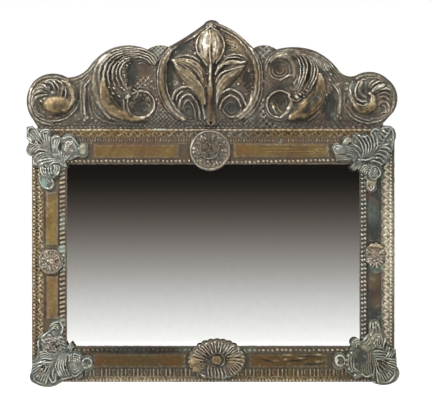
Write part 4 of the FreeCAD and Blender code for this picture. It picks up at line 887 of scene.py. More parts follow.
    # Punched ground with its lattice
    p.strokes([(134, 58.6), (140, 57.4), (146, 60)], [(137, 64), (142, 62.6), (147, 65)], 3, 0.9, 6)
    for x, y, rx, ry in ((40, 107, 5, 8), (52, 91, 7, 5), (78, 85, 4, 4), (78, 117, 6, 4), (146, 61, 6, 5)):
        p.tint(p.green, x, y, rx, ry, 0.05)
    p.lattice(132, 152, 72, 91, 5.2, 2.4, half=0.16)
    p.punched(142, 70, 14, 14, 2.2, 0.35, 31)
    p.dome(137.4, 76.6, 1.2, 1.2, 7.5)
    p.dome(152, 81.4, 1.8, 1.4, 6.5)
    p.ridge([(150.6, 86.6), (153.6, 88.6), (155, 92)], 1.1, 6.5)
    p.lattice(36, 158, 121, 127, 3.8, 2, half=0.2)
    # Painted highlights on the volute rim, the great leaf's upper edge and its flutes, and painted shade on
    # the bulge, the belly, the ring and along the foot.
    p.rubs_or_paint_light((52.6, 99.8, 5.6, 3, 0.3, -20), (60, 107, 12, 7, -1.5), (31, 98, 2.4, 15, 2.3), (103.4, 59.6, 7.6,
           4.2, 2.8, -48), (150, 60.4, 4.4, 2.6, 1.6, 42), (153, 56, 8, 3.4, 1.5, 42),
           (128, 51, 14, 3.4, 0.1), (105, 75, 2.6, 9, 1.4), (113.6, 69, 1.8, 8, 1.6), (134, 72, 8, 13, -1.2),
           (124.8, 75.4, 2.4, 2, 1.6), (112, 101, 8, 16, -1.6, -35), (120, 105, 5, 10, -1.2, -45),
           (130, 116, 14, 5, -2), (140, 104, 11, 11, -1.5), (152, 108, 4, 7, 0.9, 30),
           (151, 66.6, 3, 3, 0.8), (100, 123, 60, 5, -0.8))
    p.tints(p.red, (133, 72, 7, 12, 0.35), (144, 74, 10, 12, 0.45))


def raise_right_wing(p):
    """Right wing: the circle, the ring, the great leaf and the volute with its crescent."""
    p.mound(368, 99, 29, 26, 5)
    p.swell([(386, 88), (374, 84), (361, 86), (353, 96), (356, 108)], [5, 8, 8, 8, 6], 7.5)
    p.mound(364, 104, 15, 12, 8.5)
    p.swell([(337, 86), (339.4, 100), (336, 118)], [5, 6, 6], 4.5)
    p.swell([(298, 54), (311, 60), (319, 73), (321, 88), (315, 100), (303, 110), (290, 117)],
            [5, 9, 13, 14, 14, 11, 4], 9.5)
    p.swell([(330, 66), (316, 56), (300, 53), (286, 54), (272, 60)], [5, 8, 8, 7, 5], 6)
    p.swell([(300, 62), (303, 74), (300, 86), (297, 96)], [6, 8, 8, 5], 6.5)
    p.mound(280, 104, 17, 16, 4)
    for x, y, rx, ry, depth, turn in ((280, 100, 10, 10, 3.5, 0), (275, 64, 8, 9, 3.5, 0),
            (301, 68, 4, 9, 3, 0), (308.6, 76, 3, 12, 3, 8), (331, 105, 8, 14, 4, 0), (385, 108, 5, 8, 3, 0),
            (362, 90, 4, 8, 3, 0), (284, 84, 10, 5, 2, 0), (372, 115, 8, 5, 3, 0), (326, 74, 5, 6, 2, 0)):
        p.hollow(x, y, rx, ry, depth, turn)
    p.settle()
    # Folds along the top
    p.strokes([(277, 50.8), (290, 49.4), (304, 51), (317, 54.8), (327.6, 62), (336, 70.4), (345, 78)],
              [(285, 56.4), (293, 54.6), (303, 55.4), (311.4, 58.6), (319.6, 66), (327, 74), (333, 83)], 5,
              1, 8)
    # Circle on the left
    p.ridge([(265.8, 70), (267.4, 63), (271.6, 57), (277, 53.4), (283, 52)], 1.1, 9)
    p.ridge([(264.6, 66), (266.4, 60), (270, 55.4), (275, 52)], 0.8, 7.5)
    p.lobe([(270.4, 62), (275, 57.4), (282, 55.6), (289, 58.4), (293.4, 64), (294.6, 71), (293.8, 77)],
           [1.4, 2.2, 2.6, 2.8, 2.6, 2.2, 1.4], 8.5, gold=0.3)
    p.dome(286, 54.6, 2.4, 1.3, 9.5, turn=30)
    p.dome(275, 61.6, 2.4, 1.5, 6.5, turn=-10)
    p.ridge([(279.4, 80), (284.6, 77.6), (288, 75.4), (296, 75.2)], 1.2, 8.5)
    p.dome(286.8, 76.4, 2.4, 1.3, 10, turn=-25)
    for reach in (3.6, 7, 10.4):
        p.ridge(arc(279.8, 70, reach, 0.9 * reach, -30, 300, 16), 0.75, 6.5, gold=0.3)
    p.punched(279, 71, 11, 10, 2.6, 0.5, 37)
    p.tint(p.gold, 279, 71, 12, 11, 0.35)
    p.dome(293, 88.4, 3.4, 2.6, 8)
    p.ridge([(297, 78), (294.4, 83), (294.6, 88)], 1.4, 7.5)
    # Flutes of the great leaf
    p.strokes([(293.6, 54.6), (298.6, 60), (300.4, 68), (299.6, 77), (296, 88)], [(299, 53), (305, 59.6),
              (307, 68), (305, 78), (299, 91)], 3, 1.15, 11)
    p.strokes([(305, 54.6), (310, 62), (311.4, 71), (309.4, 80), (303.6, 90.4)], [(311.4, 58), (316.4, 66.6),
              (316.6, 76), (312, 86), (306, 94)], 3, 1.2, 12)
    p.strokes([(307, 53.6), (313, 60), (317, 68)], [(320, 57), (327, 65.4), (331, 74)], 6, 0.95, 9.6)
    for x, y, rx, ry, turn in ((324, 64, 2, 1.5, 40), (327.4, 70.4, 2, 1.5, 50), (319.8, 74.2, 1.6, 1.4, 0),
            (313.4, 65.6, 1.4, 1.1, 0), (331, 74, 1.5, 1.2, 40), (330, 80, 1.5, 1.2, 40)):
        p.dome(x, y, rx, ry, 11, turn=turn)
    p.hatched([(301, 62), (301.6, 73)], 3.2, 2.2, 1.2)
    p.hatched([(308, 88), (303, 92), (298, 96)], 2.2, 2.6, 0.9)
    for x, y, rx, ry, turn in ((306.6, 90.4, 2.8, 1.6, 35), (303, 92.8, 2.8, 1.6, 35),
            (303.6, 96, 1.8, 1.3, 35), (300.6, 94.4, 1.8, 1.2, 35)):
        p.dome(x, y, rx, ry, 12, turn=turn)
    p.dome(296.4, 97, 3.6, 2.2, 13, turn=28)
    p.ridge([(288.4, 97), (292.6, 99.6), (297, 100.8), (301, 98)], 1.2, 11.5)
    # Smooth belly
    p.lobe([(319.6, 75), (320.6, 86), (317, 96.4), (309.6, 105.4), (300.6, 112.2), (291, 117.6)],
           [2.4, 5.2, 8.2, 9, 7.6, 3.6], 13, gold=0.8, fullness=0.5)
    p.crease([(315, 84), (313, 94), (306, 101.6), (300, 105)], 1.3, -1.2)
    p.crease([(324, 92), (320, 104), (308, 114)], 1.2, -1.4)
    p.ridge([(318.4, 112), (314.6, 116), (308, 120)], 1, 8)
    # Between the leaf and the volute
    p.ridge([(332.6, 84), (336.4, 89), (339, 95)], 1.1, 9.5)
    p.ridge([(339.4, 90), (340.6, 100), (339.6, 112)], 1.7, 6.5, ends=0.8)
    p.ridge([(334.6, 96), (335.4, 106), (333.6, 116)], 1.2, 5.5, ends=0.8)
    p.ridge([(344.6, 94), (344.2, 104), (345.6, 112)], 1.3, 7)
    p.dome(326.6, 95, 1.5, 1.9, 9)
    for x, y in ((328, 98), (325, 102), (331, 116), (335, 119.6), (337.6, 122), (341, 118), (347, 105)):
        p.dome(x, y, 1.6, 2.2, 6, turn=-30)
    p.dome(346.6, 88.6, 1.8, 2.4, 8)
    p.dome(347.4, 83.6, 2.6, 1.8, 6)
    # Ring and its inside
    p.ridge(arc(280, 104, 13.4, 13.2, 178, 318, 14), 1.25, 10.5, gold=0.25, ends=0.9)
    p.ridge(arc(280, 104, 13.4, 13.2, 60, 185, 12), 1, 9.5, gold=0.2, ends=0.9)
    p.ridge(arc(280, 104, 16, 15.6, 65, 150, 10), 0.9, 7.5, ends=0.9)
    p.lobe([(288.6, 96), (291.6, 103), (288.4, 111), (281, 116.4)], [1.2, 2.8, 3, 1.4], 10.5, gold=0.15)
    p.dome(288, 108.2, 2.6, 1.5, 12, turn=-50)
    p.dome(273.6, 107.4, 1.3, 2.4, 9.5, turn=-10)
    p.ridge([(272, 103), (273.6, 109), (277.4, 114)], 1, 8.5)
    p.ridge([(277, 104), (278.4, 108.6), (281.6, 112)], 0.9, 7.5)
    p.strokes([(274, 97), (277.6, 99.4), (281, 103)], [(272.4, 103), (275, 106), (278, 110)], 3, 0.8, 6.5)
    p.tint(p.gold, 280, 100, 14, 15, 0.6)
    p.punched(280, 101, 8, 7, 2.6, 0.9, 41)
    # Rims of the volute
    p.ridge([(357, 78), (366, 75.2), (376, 75.6), (385.6, 80.4), (391.4, 88), (393.8, 97), (392.8, 107),
            (387.4, 114.6), (379, 120.6), (368, 123)], 1.5, 7.5, ends=0.9)
    p.ridge([(366, 78), (375, 77.4), (384, 81), (389.6, 88), (391, 97)], 1.1, 9.5)
    p.ridge([(346.8, 110), (351.4, 116), (358.6, 120.6), (368, 123)], 1.2, 8.5)
    p.ridge([(349, 106.6), (353, 113), (360, 117.6), (369, 119.6), (378, 117.6)], 1.1, 7)
    p.ridge([(391, 112), (393.6, 106)], 0.9, 8)
    p.ridge([(352.6, 82), (349.8, 89), (351, 96), (354.4, 101.6)], 1.4, 9, gold=0.2)
    p.ridge([(358.4, 81.4), (355.8, 86), (354.8, 92), (356.4, 98), (360.6, 101.4), (366, 100.8)], 1.3, 11.5)
    p.ridge([(348.4, 94), (350.6, 100), (354.6, 104.6)], 1.1, 8.5)
    p.lobe([(362, 82), (360, 88), (361.4, 94), (366, 97)], [1.4, 2.6, 2.6, 1.4], 8.5)
    # Feathers of the volute
    p.ridge([(359.4, 81.6), (362.6, 79.4), (366, 79.6)], 1, 9.5)
    p.ridge([(368, 87), (370.4, 82.4), (374.6, 79.4)], 1, 9.5)
    p.ridge([(370, 88), (373.6, 83.8), (379, 81.2), (385, 81.8)], 1.1, 10.5)
    p.ridge([(372, 89.6), (377, 86), (383, 83.8)], 1, 10)
    p.lobe([(370.6, 92.4), (375, 89.2), (379.6, 87), (384, 84.8)], [1.2, 2.2, 1.8, 1.6], 12.5)
    p.dome(382.4, 85.6, 1.6, 1.4, 13)
    p.ridge([(374.6, 92.6), (380.6, 89.4), (387, 88.4), (391.6, 90.6)], 1.1, 10)
    p.ridge([(377.4, 94.4), (383.4, 92.2), (389, 94), (391.8, 99)], 1, 9)
    p.ridge([(379, 97), (385, 96.4), (389.4, 100.6)], 1.1, 8)
    p.hatched([(386, 84), (390, 90), (391, 96)], 2, 1.8, 0.6)
    p.dome(371.6, 92.4, 2.2, 2, 11)
    p.crease([(371.2, 92.4), (372, 92.4)], 1, -4)
    # Crescent
    p.lobe([(353.6, 105), (359.6, 108.8), (366.6, 109), (372, 104.6), (372.6, 97), (369, 93.4)],
           [2, 3.8, 4.8, 4.6, 3.2, 1.8], 14, gold=0.95, fullness=0.5)
    p.ridge([(356, 103.6), (362, 105.6), (367, 103.6)], 1, 14.5, gold=0.8)
    p.ridge([(371.6, 104), (372.4, 98.6), (371, 95)], 1.1, 14.8, gold=0.6)
    # Curl on the right of the volute
    p.ridge([(378.6, 104.6), (382, 101.4), (386.6, 102.4), (389, 107), (387.6, 112.4), (383, 116),
            (377, 118.6)], 1.3, 9)
    p.ridge([(380, 107.6), (382.6, 104.6), (385.6, 106.6), (385.6, 110.6), (381.6, 113.6)], 1, 8)
    p.dome(385.8, 111, 1.4, 3, 10.5, turn=35)
    p.punched(383, 108, 6, 7, 2, 0.5, 43)
    p.dome(372, 118.4, 1.6, 1.6, 8)
    p.lattice(262, 384, 120, 127, 5.6, 2.8, half=0.18)
    for x, y, rx, ry in ((274, 61, 6, 5), (302, 68, 3, 8), (347, 87, 4, 5), (362, 89, 4, 7),
            (384, 108, 5, 6), (371, 116, 7, 3)):
        p.tint(p.green, x, y, rx, ry, 0.06)
    # Painted highlights on the flutes, the ring, the crescent and the volute's curl, and painted shade on the
    # belly, inside the circle and the ring, under the crescent and along the foot.
    p.rubs_or_paint_light((279, 70, 11, 10, -1), (305.6, 70, 1.8, 12, 1), (313.6, 76, 2, 9, 0.8, 10),
           (325.8, 67.4, 2.6, 5, 1.8, -30), (318, 61, 9, 4, 0.9, 40), (296.4, 97, 3.4, 2, 2.2, 28),
           (314, 98, 9, 20, -2.2, 26), (300, 112, 12, 7, -1.6, -25), (301, 51, 16, 4, -1.3),
           (329, 107, 9, 14, -2.2), (304, 104, 3, 4, 1, 30), (274, 95, 12, 9, -1.3, -40),
           (272, 113, 8, 5, -0.6, 40), (288, 107.6, 2.4, 2.4, 2.8), (273.6, 107.4, 1.6, 2.4, 1.8),
           (280, 102, 11, 10, -1.6), (280, 86, 14, 6, -0.9), (371.8, 99, 1.6, 4.4, 2),
           (364.4, 104.6, 2.4, 1.4, 1.6), (363, 108.6, 11, 5, -2.2), (386, 108, 4.4, 7, 1.9),
           (377, 87, 6, 2.6, 1.4, -28), (382.4, 85, 2.2, 2, 1.6), (320, 122, 62, 6, -1.3))
    p.tint(p.red, 278, 68, 10, 9, 0.35)


# Corner leaves: outlines and nails as in the solids

top_left_outline_px = [
    (27, 127), (33, 126), (36, 129), (40, 131), (45.5, 127.5, 51.5, 131), (52, 137),
    (57, 134.5, 61.5, 138), (63, 137), (70, 133.5, 76, 139), (79.5, 145), (85, 142.5, 88, 149),
    (86, 157, 79, 156.5), (71, 160.5), (66, 161), (68, 167.5), (61, 168), (59.5, 175),
    (57, 178.5, 53, 178.5), (55, 184), (51, 190.5, 46, 189.5), (40.5, 185, 38, 178), (41, 175),
    (39, 169), (33, 164), (34, 157), (29.5, 155.5), (26.6, 150, 28.5, 145), (29.5, 141), (27, 138.5),
    (27, 127)]
top_right_outline_px = [
    (331.5, 150), (332, 145.8, 341, 144.5), (341, 142), (345, 136, 351, 138.5), (352.5, 137),
    (356, 132.5, 361, 135.5), (366, 134, 369, 137), (370, 131), (375, 127.6, 381, 128.2), (383, 125.4),
    (390, 126), (394.8, 131, 394.8, 140), (393, 150), (389, 153), (390, 157, 386.5, 159.5), (387, 163),
    (381, 166), (381.8, 173, 377, 179), (376, 184), (375, 191, 370, 192.5), (365, 188, 366, 181),
    (364, 176), (360, 172), (357, 169), (354, 171.5), (349.5, 167.5), (353, 163), (352, 160.5),
    (343, 162.5, 336, 159), (334, 155), (331.5, 150)]
bottom_left_outline_px = [
    (49.5, 325), (55, 320, 62, 321), (64.5, 327), (63.5, 334), (65, 340), (68, 345), (71.5, 341.6),
    (75.2, 346.5), (72, 350), (80, 351.5), (84, 356), (92, 356.5, 93, 362), (92, 369.5, 86, 369),
    (83.5, 374), (80, 378.5, 74, 377), (66, 379), (62, 382), (56, 385.3), (45, 386.6, 36, 383.5),
    (30.5, 379, 31.5, 372), (33, 361), (37, 356), (38, 349), (37.5, 342), (40, 335), (47.5, 331),
    (49.5, 325)]
bottom_right_outline_px = [
    (368.5, 323), (374, 318.8, 379.5, 323), (381.5, 330), (386, 337), (388, 346), (395.6, 349),
    (396.6, 366), (398, 378, 393, 382.6), (382, 384.8, 371, 381.5), (370.5, 377.5), (361, 376.5),
    (355, 379), (350.5, 374.5), (345.5, 371.5), (344, 367.2), (333.4, 367, 333, 360),
    (336, 352.6, 345, 355.5), (349, 351), (351.3, 346), (351.5, 339.5, 357.5, 338.3), (362, 342),
    (363, 337), (368, 333), (368.5, 323)]
top_left_nails_px = [(34, 142), (63, 145), (53, 176)]
top_right_nails_px = [(352, 143), (387, 140), (368, 164)]
bottom_left_nails_px = [(44, 366), (67, 367), (58, 346)]
bottom_right_nails_px = [(360, 369), (380, 362), (371, 331)]


def raise_top_left(p):
    """Palmette of the top left corner: fluted lobes that fan out from a boss, a beaded bud and a tail."""
    p.mound(52, 154, 34, 34, 5)
    p.mound(70, 148, 14, 13, 6.5)
    p.mound(48, 172, 13, 14, 6)
    for x, y, rx, ry in ((51, 134, 2, 6), (61, 146, 3, 7), (34, 154, 3, 3), (58, 178, 4, 3),
            (38, 169, 3, 4)):
        p.hollow(x, y, rx, ry, 3)
    p.settle()
    # Corner block and the lobes along the top
    p.fan(51, 153, 207, 238, 9, 28, 7, 1.2, 9.6)
    p.ridge([(29, 138), (28.6, 131), (30.4, 128), (35, 128)], 1.1, 8.6)
    p.strokes([(41.4, 134), (43.4, 141), (47.4, 149)], [(50, 135.6), (50, 142), (50.4, 149)], 4, 1, 9)
    p.ridge(arc(45.8, 133.4, 4.9, 3.6, 165, 375, 8), 0.95, 10)
    p.ridge(arc(46, 133.6, 2.6, 1.8, 150, 390, 8), 0.7, 9)
    p.strokes([(52.6, 140), (52.8, 146), (54, 152)], [(60.8, 140), (58.8, 146), (57, 152)], 4, 1, 8.8)
    p.ridge(arc(57, 139.6, 4.2, 2.8, 180, 350, 8), 0.9, 9.4)
    # Lobes on the left
    p.strokes([(29.8, 152), (31, 147), (37, 144.8), (44, 146), (50, 149.4)], [(34, 153.6), (37, 150.8),
              (41.4, 149.8), (46.4, 150.8), (51, 153)], 4, 0.95, 9)
    p.strokes([(35.4, 158.4), (38.6, 154.6), (44.4, 153), (51, 154.6)], [(38.6, 160.6), (42.4, 158),
              (47, 156.8), (52, 157.4)], 3, 0.95, 8.4)
    p.ridge([(33.8, 158.6), (34.2, 162.4), (36.8, 164.6)], 0.9, 8.8)
    p.strokes([(37.4, 162.6), (43, 160.2), (50, 159)], [(40, 165.6), (45, 162.6), (50, 161.4)], 2, 0.95, 8.4)
    # Sinuous ribs and the boss under the fan
    p.strokes([(45, 160.4), (52, 159), (59, 160), (66, 164)], [(50, 165.2), (54.6, 162.6), (59.6, 163.2),
              (66, 166.4)], 3, 0.9, 9.4)
    p.dome(57, 156.6, 4.4, 3.4, 8.6, turn=30)
    # Stamens
    p.strokes([(59.4, 151), (60.4, 156.4), (62.4, 162.4)], [(70.6, 155.6), (67.4, 158), (65, 161.4)], 5,
              0.85, 9.4)
    # Beaded bud
    p.dome(70.4, 147.4, 7.2, 7.8, 8.4, turn=30)
    p.crumpled(69.4, 147, 6, 6.4, 26, 9.6, 21)
    p.ridge([(64.6, 138.6), (70, 137), (75, 140), (79, 145.4)], 0.95, 10)
    p.ridge([(72, 141.2), (75.6, 146), (76.6, 151)], 0.8, 9.8)
    p.dome(83.2, 149.6, 4.2, 5.8, 9, gold=0.5)
    p.crease([(87, 146), (88, 150), (86.4, 155)], 1.2, -3)
    p.dome(79, 149, 1.3, 1.4, 10.4)
    p.ridge([(75, 157), (80, 156.6)], 1, 7.4)
    # Scroll bud and leaf below
    p.strokes([(40.8, 167.6), (41.8, 173), (45.8, 176.8)], [(51.4, 166), (51.6, 170.6), (53, 176)], 5, 0.85,
              8.8)
    for x, y in ((46.6, 165.6), (48.8, 168.8), (45.4, 168.8), (46.6, 173), (50, 173.4)):
        p.dome(x, y, 1.3, 1.1, 10.4, turn=-30)
        p.crease([(x - 1.5, y + 1.2), (x - 1.2, y + 1.4)], 1, -2.6)
    p.strokes([(54, 177), (58, 174), (60, 169.6), (58.8, 165.6)], [(53.4, 172), (55, 170.6), (55.4, 168),
              (54.4, 165.6)], 3, 0.95, 9)
    # Tail
    p.ridge([(39.4, 178.4), (41.6, 184), (45.6, 188.2), (50.6, 188.6), (53.8, 184.6), (52.6, 180.6)], 1, 8.6)
    p.strokes([(42.6, 179), (44.4, 183), (48.4, 186)], [(47, 178), (48.4, 180.6), (51, 182.4)], 3, 0.85, 7.4)
    # Painted highlights on single lobes, painted shade at the boss and between lobes, and the whole leaf made
    # brighter.
    p.rubs_or_paint_light((34, 141, 7, 3, 0.7, 20), (55.4, 145, 1.4, 5, 1), (32.4, 149.4, 4, 2, 1, -50),
           (57, 157, 5, 4, -0.7), (52, 154, 30, 30, 0.5), (41, 156, 6, 4, -0.8), (82, 148, 3, 4, 0.5),
           (41.6, 172, 1.6, 5, 1, -20), (56.6, 169, 1.4, 4, 1))
    p.tint(p.red, 70, 147, 8, 9, 0.45)
    p.tint(p.green, 44, 184, 4, 6, 0.9)


def raise_top_right(p):
    """Palmette of the top right corner: a flower, long ribs, chevrons and a beaded scroll."""
    p.mound(370, 154, 32, 34, 5)
    p.mound(342, 150, 13, 11, 6)
    p.mound(373, 174, 12, 14, 6)
    for x, y, rx, ry in ((341, 142, 2, 3), (356, 164, 3, 4), (386, 164, 3, 3), (362, 176, 3, 5),
            (367, 134, 3, 2)):
        p.hollow(x, y, rx, ry, 3)
    p.settle()
    # Flower on the left
    p.dome(339.6, 150, 7.4, 5.6, 8, turn=6, petals=9, depth=0.9)
    p.dome(337.8, 149.2, 2.6, 2, 10)
    p.ridge(arc(338.2, 149.8, 5, 4, 20, 330, 14), 0.8, 9.4)
    p.strokes([(334.6, 153.6), (339, 156.2), (346, 156.4)], [(336.4, 158.4), (341, 160), (350, 158.6)], 3,
              0.85, 8.4)
    p.strokes([(346, 147), (350, 148.4), (354, 149)], [(345.6, 154), (349.6, 155), (353.6, 157)], 4, 0.8, 8)
    p.strokes([(343, 143.6), (345.6, 139.4), (350, 138.6)], [(346, 144.6), (348.6, 142), (352.4, 141.6)], 3,
              0.95, 9, gold=0.7)
    # Long ribs
    p.strokes([(354, 136), (358.6, 140.6), (362, 146.6), (363, 153), (361.6, 159)], [(374, 132),
              (376.4, 138), (377.2, 144), (375, 150), (372, 155)], 6, 1.05, 9.4)
    p.strokes([(354.6, 150), (358, 153), (361, 158)], [(353.6, 145), (358, 147), (361.4, 152)], 2, 0.9, 8.4)
    p.ridge([(357.6, 135.6), (361.4, 137), (366.4, 136.4)], 0.9, 9.6)
    p.ridge([(370.8, 132.6), (374.4, 129.4), (379, 130.2)], 1, 9.6)
    # Chevrons of the corner
    for i in range(6):
        x = 378.4 + 2.1 * i
        y = 146 - 3.1 * i
        p.ridge([(x - 3.4, y - 3), (x, y + 0.4), (x + 3, y - 1.2 - 0.4 * i)], 0.85, 9.2 + 0.1 * i)
    p.ridge([(382, 128.4), (388, 127.6), (392.4, 131), (393, 138), (391.6, 146)], 1, 8.6)
    # Strokes on the right
    p.strokes([(377, 149.6), (382.6, 147.2), (388, 148.6), (390, 151.6)], [(370, 161.4), (375, 161.4),
              (379.4, 163.4), (382, 166)], 5, 1, 9)
    p.ridge([(381, 145.8), (385, 145), (389, 143.6)], 0.95, 9.6)
    p.dome(390.6, 139.6, 1.2, 1.6, 9.4)
    # Boss of the fan
    p.ridge([(358, 160), (364, 160.6), (369, 159), (373, 157)], 0.95, 9.4)
    # Fan and tip below
    for i in range(4):
        p.ridge(arc(367.6, 174, 1.8 + 2.1 * i, 2.6 + 2.1 * i, 178, 292, 8), 0.8, 9.4)
    p.strokes([(351.6, 167.6), (355, 163.6), (360, 161)], [(355.6, 171), (359, 168), (361.4, 164)], 4, 0.9,
              8)
    # Beaded scroll
    p.ridge(arc(373.6, 173, 6, 6.2, -120, 150, 14), 0.95, 9.4)
    p.dome(373.2, 173, 5, 5.2, 7)
    p.crumpled(373.2, 173, 4.2, 4.4, 20, 10.4, 23)
    p.lattice(368.4, 378.4, 168, 178, 3, 1.4, half=0.25)
    # Curl below
    p.ridge([(367.2, 181), (367.4, 187), (370.2, 190.6), (373.6, 188), (374.6, 183)], 0.9, 8.8)
    p.crumpled(370.6, 184, 2.8, 4, 9, 8.6, 25, gold=0.8)
    p.tint(p.gold, 370.6, 184.6, 5, 7, 0.8)
    # Painted highlights on single strokes and studs, and the whole leaf made duller.
    p.rubs_or_paint_light((345, 142, 1.6, 1.6, 1.4), (346, 137.4, 2.4, 1.2, 1), (366, 147, 5, 9, 0.7),
           (383.4, 130.6, 3, 1.4, 1.2, 45), (386, 148, 5, 1.6, 1.3, 15), (385, 145, 4, 1.4, 1.2),
           (365, 169, 4, 4, 1.3), (368, 154, 32, 32, -0.4), (371.6, 187.6, 3, 1.2, 1, -20))


def raise_bottom_left(p):
    """Palmette of the bottom left corner: a tip, a textured bud, long lobes, a fan, a bud and a curl."""
    p.mound(52, 360, 32, 32, 5)
    p.mound(52, 342, 15, 13, 6)
    p.mound(76, 365, 14, 13, 6.5)
    for x, y, rx, ry in ((42, 347, 3, 4), (59, 378, 4, 3), (68, 350, 3, 4), (84, 372, 3, 3),
            (48, 364, 3, 2)):
        p.hollow(x, y, rx, ry, 3)
    p.settle()
    # Tip
    p.ridge([(61, 322.4), (62.8, 327), (61.8, 333)], 1.3, 9.6)
    p.ridge([(50.8, 326), (54, 322.8), (59, 321.8)], 0.95, 9)
    p.strokes([(50.8, 330.6), (54, 327.8), (57.6, 329.4)], [(52.6, 325.8), (56, 324.2), (59.4, 326.2)], 3,
              0.8, 8.2, gold=0.3)
    p.dome(58.6, 327.8, 1.1, 1.7, 9.8)
    # Textured bud
    p.ridge([(41.6, 337.6), (46, 333.8), (50.6, 330.6)], 1.1, 9.4)
    p.crumpled(52.6, 343.6, 10.4, 8.4, 62, 8.4, 27)
    p.ridge([(38.4, 340.4), (38.6, 346)], 1, 9.4)
    p.strokes([(60.4, 335.6), (64, 338.6)], [(62, 346), (67, 348)], 4, 0.9, 8.8)
    # Tip on the upper right
    p.strokes([(66.4, 350.6), (69, 346.6), (71.4, 343.4)], [(71, 350.6), (72.4, 348), (74, 346.2)], 3, 0.9,
              8)
    # Lobes on the left
    p.strokes([(60.6, 352.8), (52, 353.6), (45.6, 351), (40, 352.4)], [(58, 357.4), (51, 358.4), (45, 357.6),
              (41.4, 359)], 4, 0.9, 9.2)
    p.strokes([(56, 359.6), (50, 361.8), (44.6, 362), (40.6, 360.6)], [(54, 363), (49, 365.8), (44, 366),
              (39.6, 364)], 3, 0.95, 9.2)
    # Fan of the corner
    p.fan(54, 358, 163, 108, 8, 26, 10, 1.15, 11)
    p.dome(39.6, 376, 1.2, 1, 9.8)
    p.ridge([(33.6, 366), (33.2, 374), (37, 381), (45, 384)], 0.9, 7.6)
    # Long lobes under the fan
    p.strokes([(62, 354), (57.8, 360), (56.4, 367), (60.4, 375.2)], [(68.4, 353), (66.4, 360), (66.4, 367),
              (69.4, 375)], 5, 1, 9.8)
    p.ridge([(50.4, 370), (49.4, 376), (52.6, 381.8), (56, 380), (55.4, 374)], 0.9, 9.2)
    p.ridge([(54.4, 368), (53, 374), (54.6, 379)], 0.8, 8.8)
    # Bud on the right
    p.dome(76, 365, 7.4, 8.6, 8)
    for i in range(4):
        p.beads([(70, 354.6 + 2.1 * i), (75, 353.6 + 2.2 * i), (80.4, 355.6 + 2.2 * i)], 2.1, 0.85, 1.3,
                base=8)
    p.strokes([(70.6, 362), (73.6, 369), (81.6, 366)], [(71.6, 373), (76, 375.6), (83.4, 369.4)], 3, 0.9,
              8.8)
    # Curl
    p.ridge(arc(87.4, 363, 4.4, 4.8, -200, 130, 14), 1, 9.4)
    p.dome(89.6, 366.4, 2, 1.8, 8.6, gold=0.3)
    p.crease([(86.6, 362), (86.8, 362.4)], 1.6, -3)
    p.strokes([(60, 379.6), (68, 377.8), (76, 376.8)], [(62, 382), (69, 380), (74, 378.6)], 2, 0.9, 7.4)
    # Painted highlights on single lobes and studs.
    p.rubs_or_paint_light((38.4, 343, 1.4, 3, 1.2), (58, 353, 3.4, 1.4, 1), (52, 358, 5, 1.2, 0.9),
           (44.6, 362, 4, 1.2, 1.6, 10), (39.6, 376, 1.4, 1.2, 1.2), (59, 373, 1.8, 4, 1.4, -35),
           (61, 366, 4, 10, 1.6), (53, 361, 14, 6, 0.4), (51.6, 379, 2, 3.4, 1, -30))
    p.tints(p.red, (53, 344, 11, 9, 0.5), (75, 360, 8, 8, 0.35))


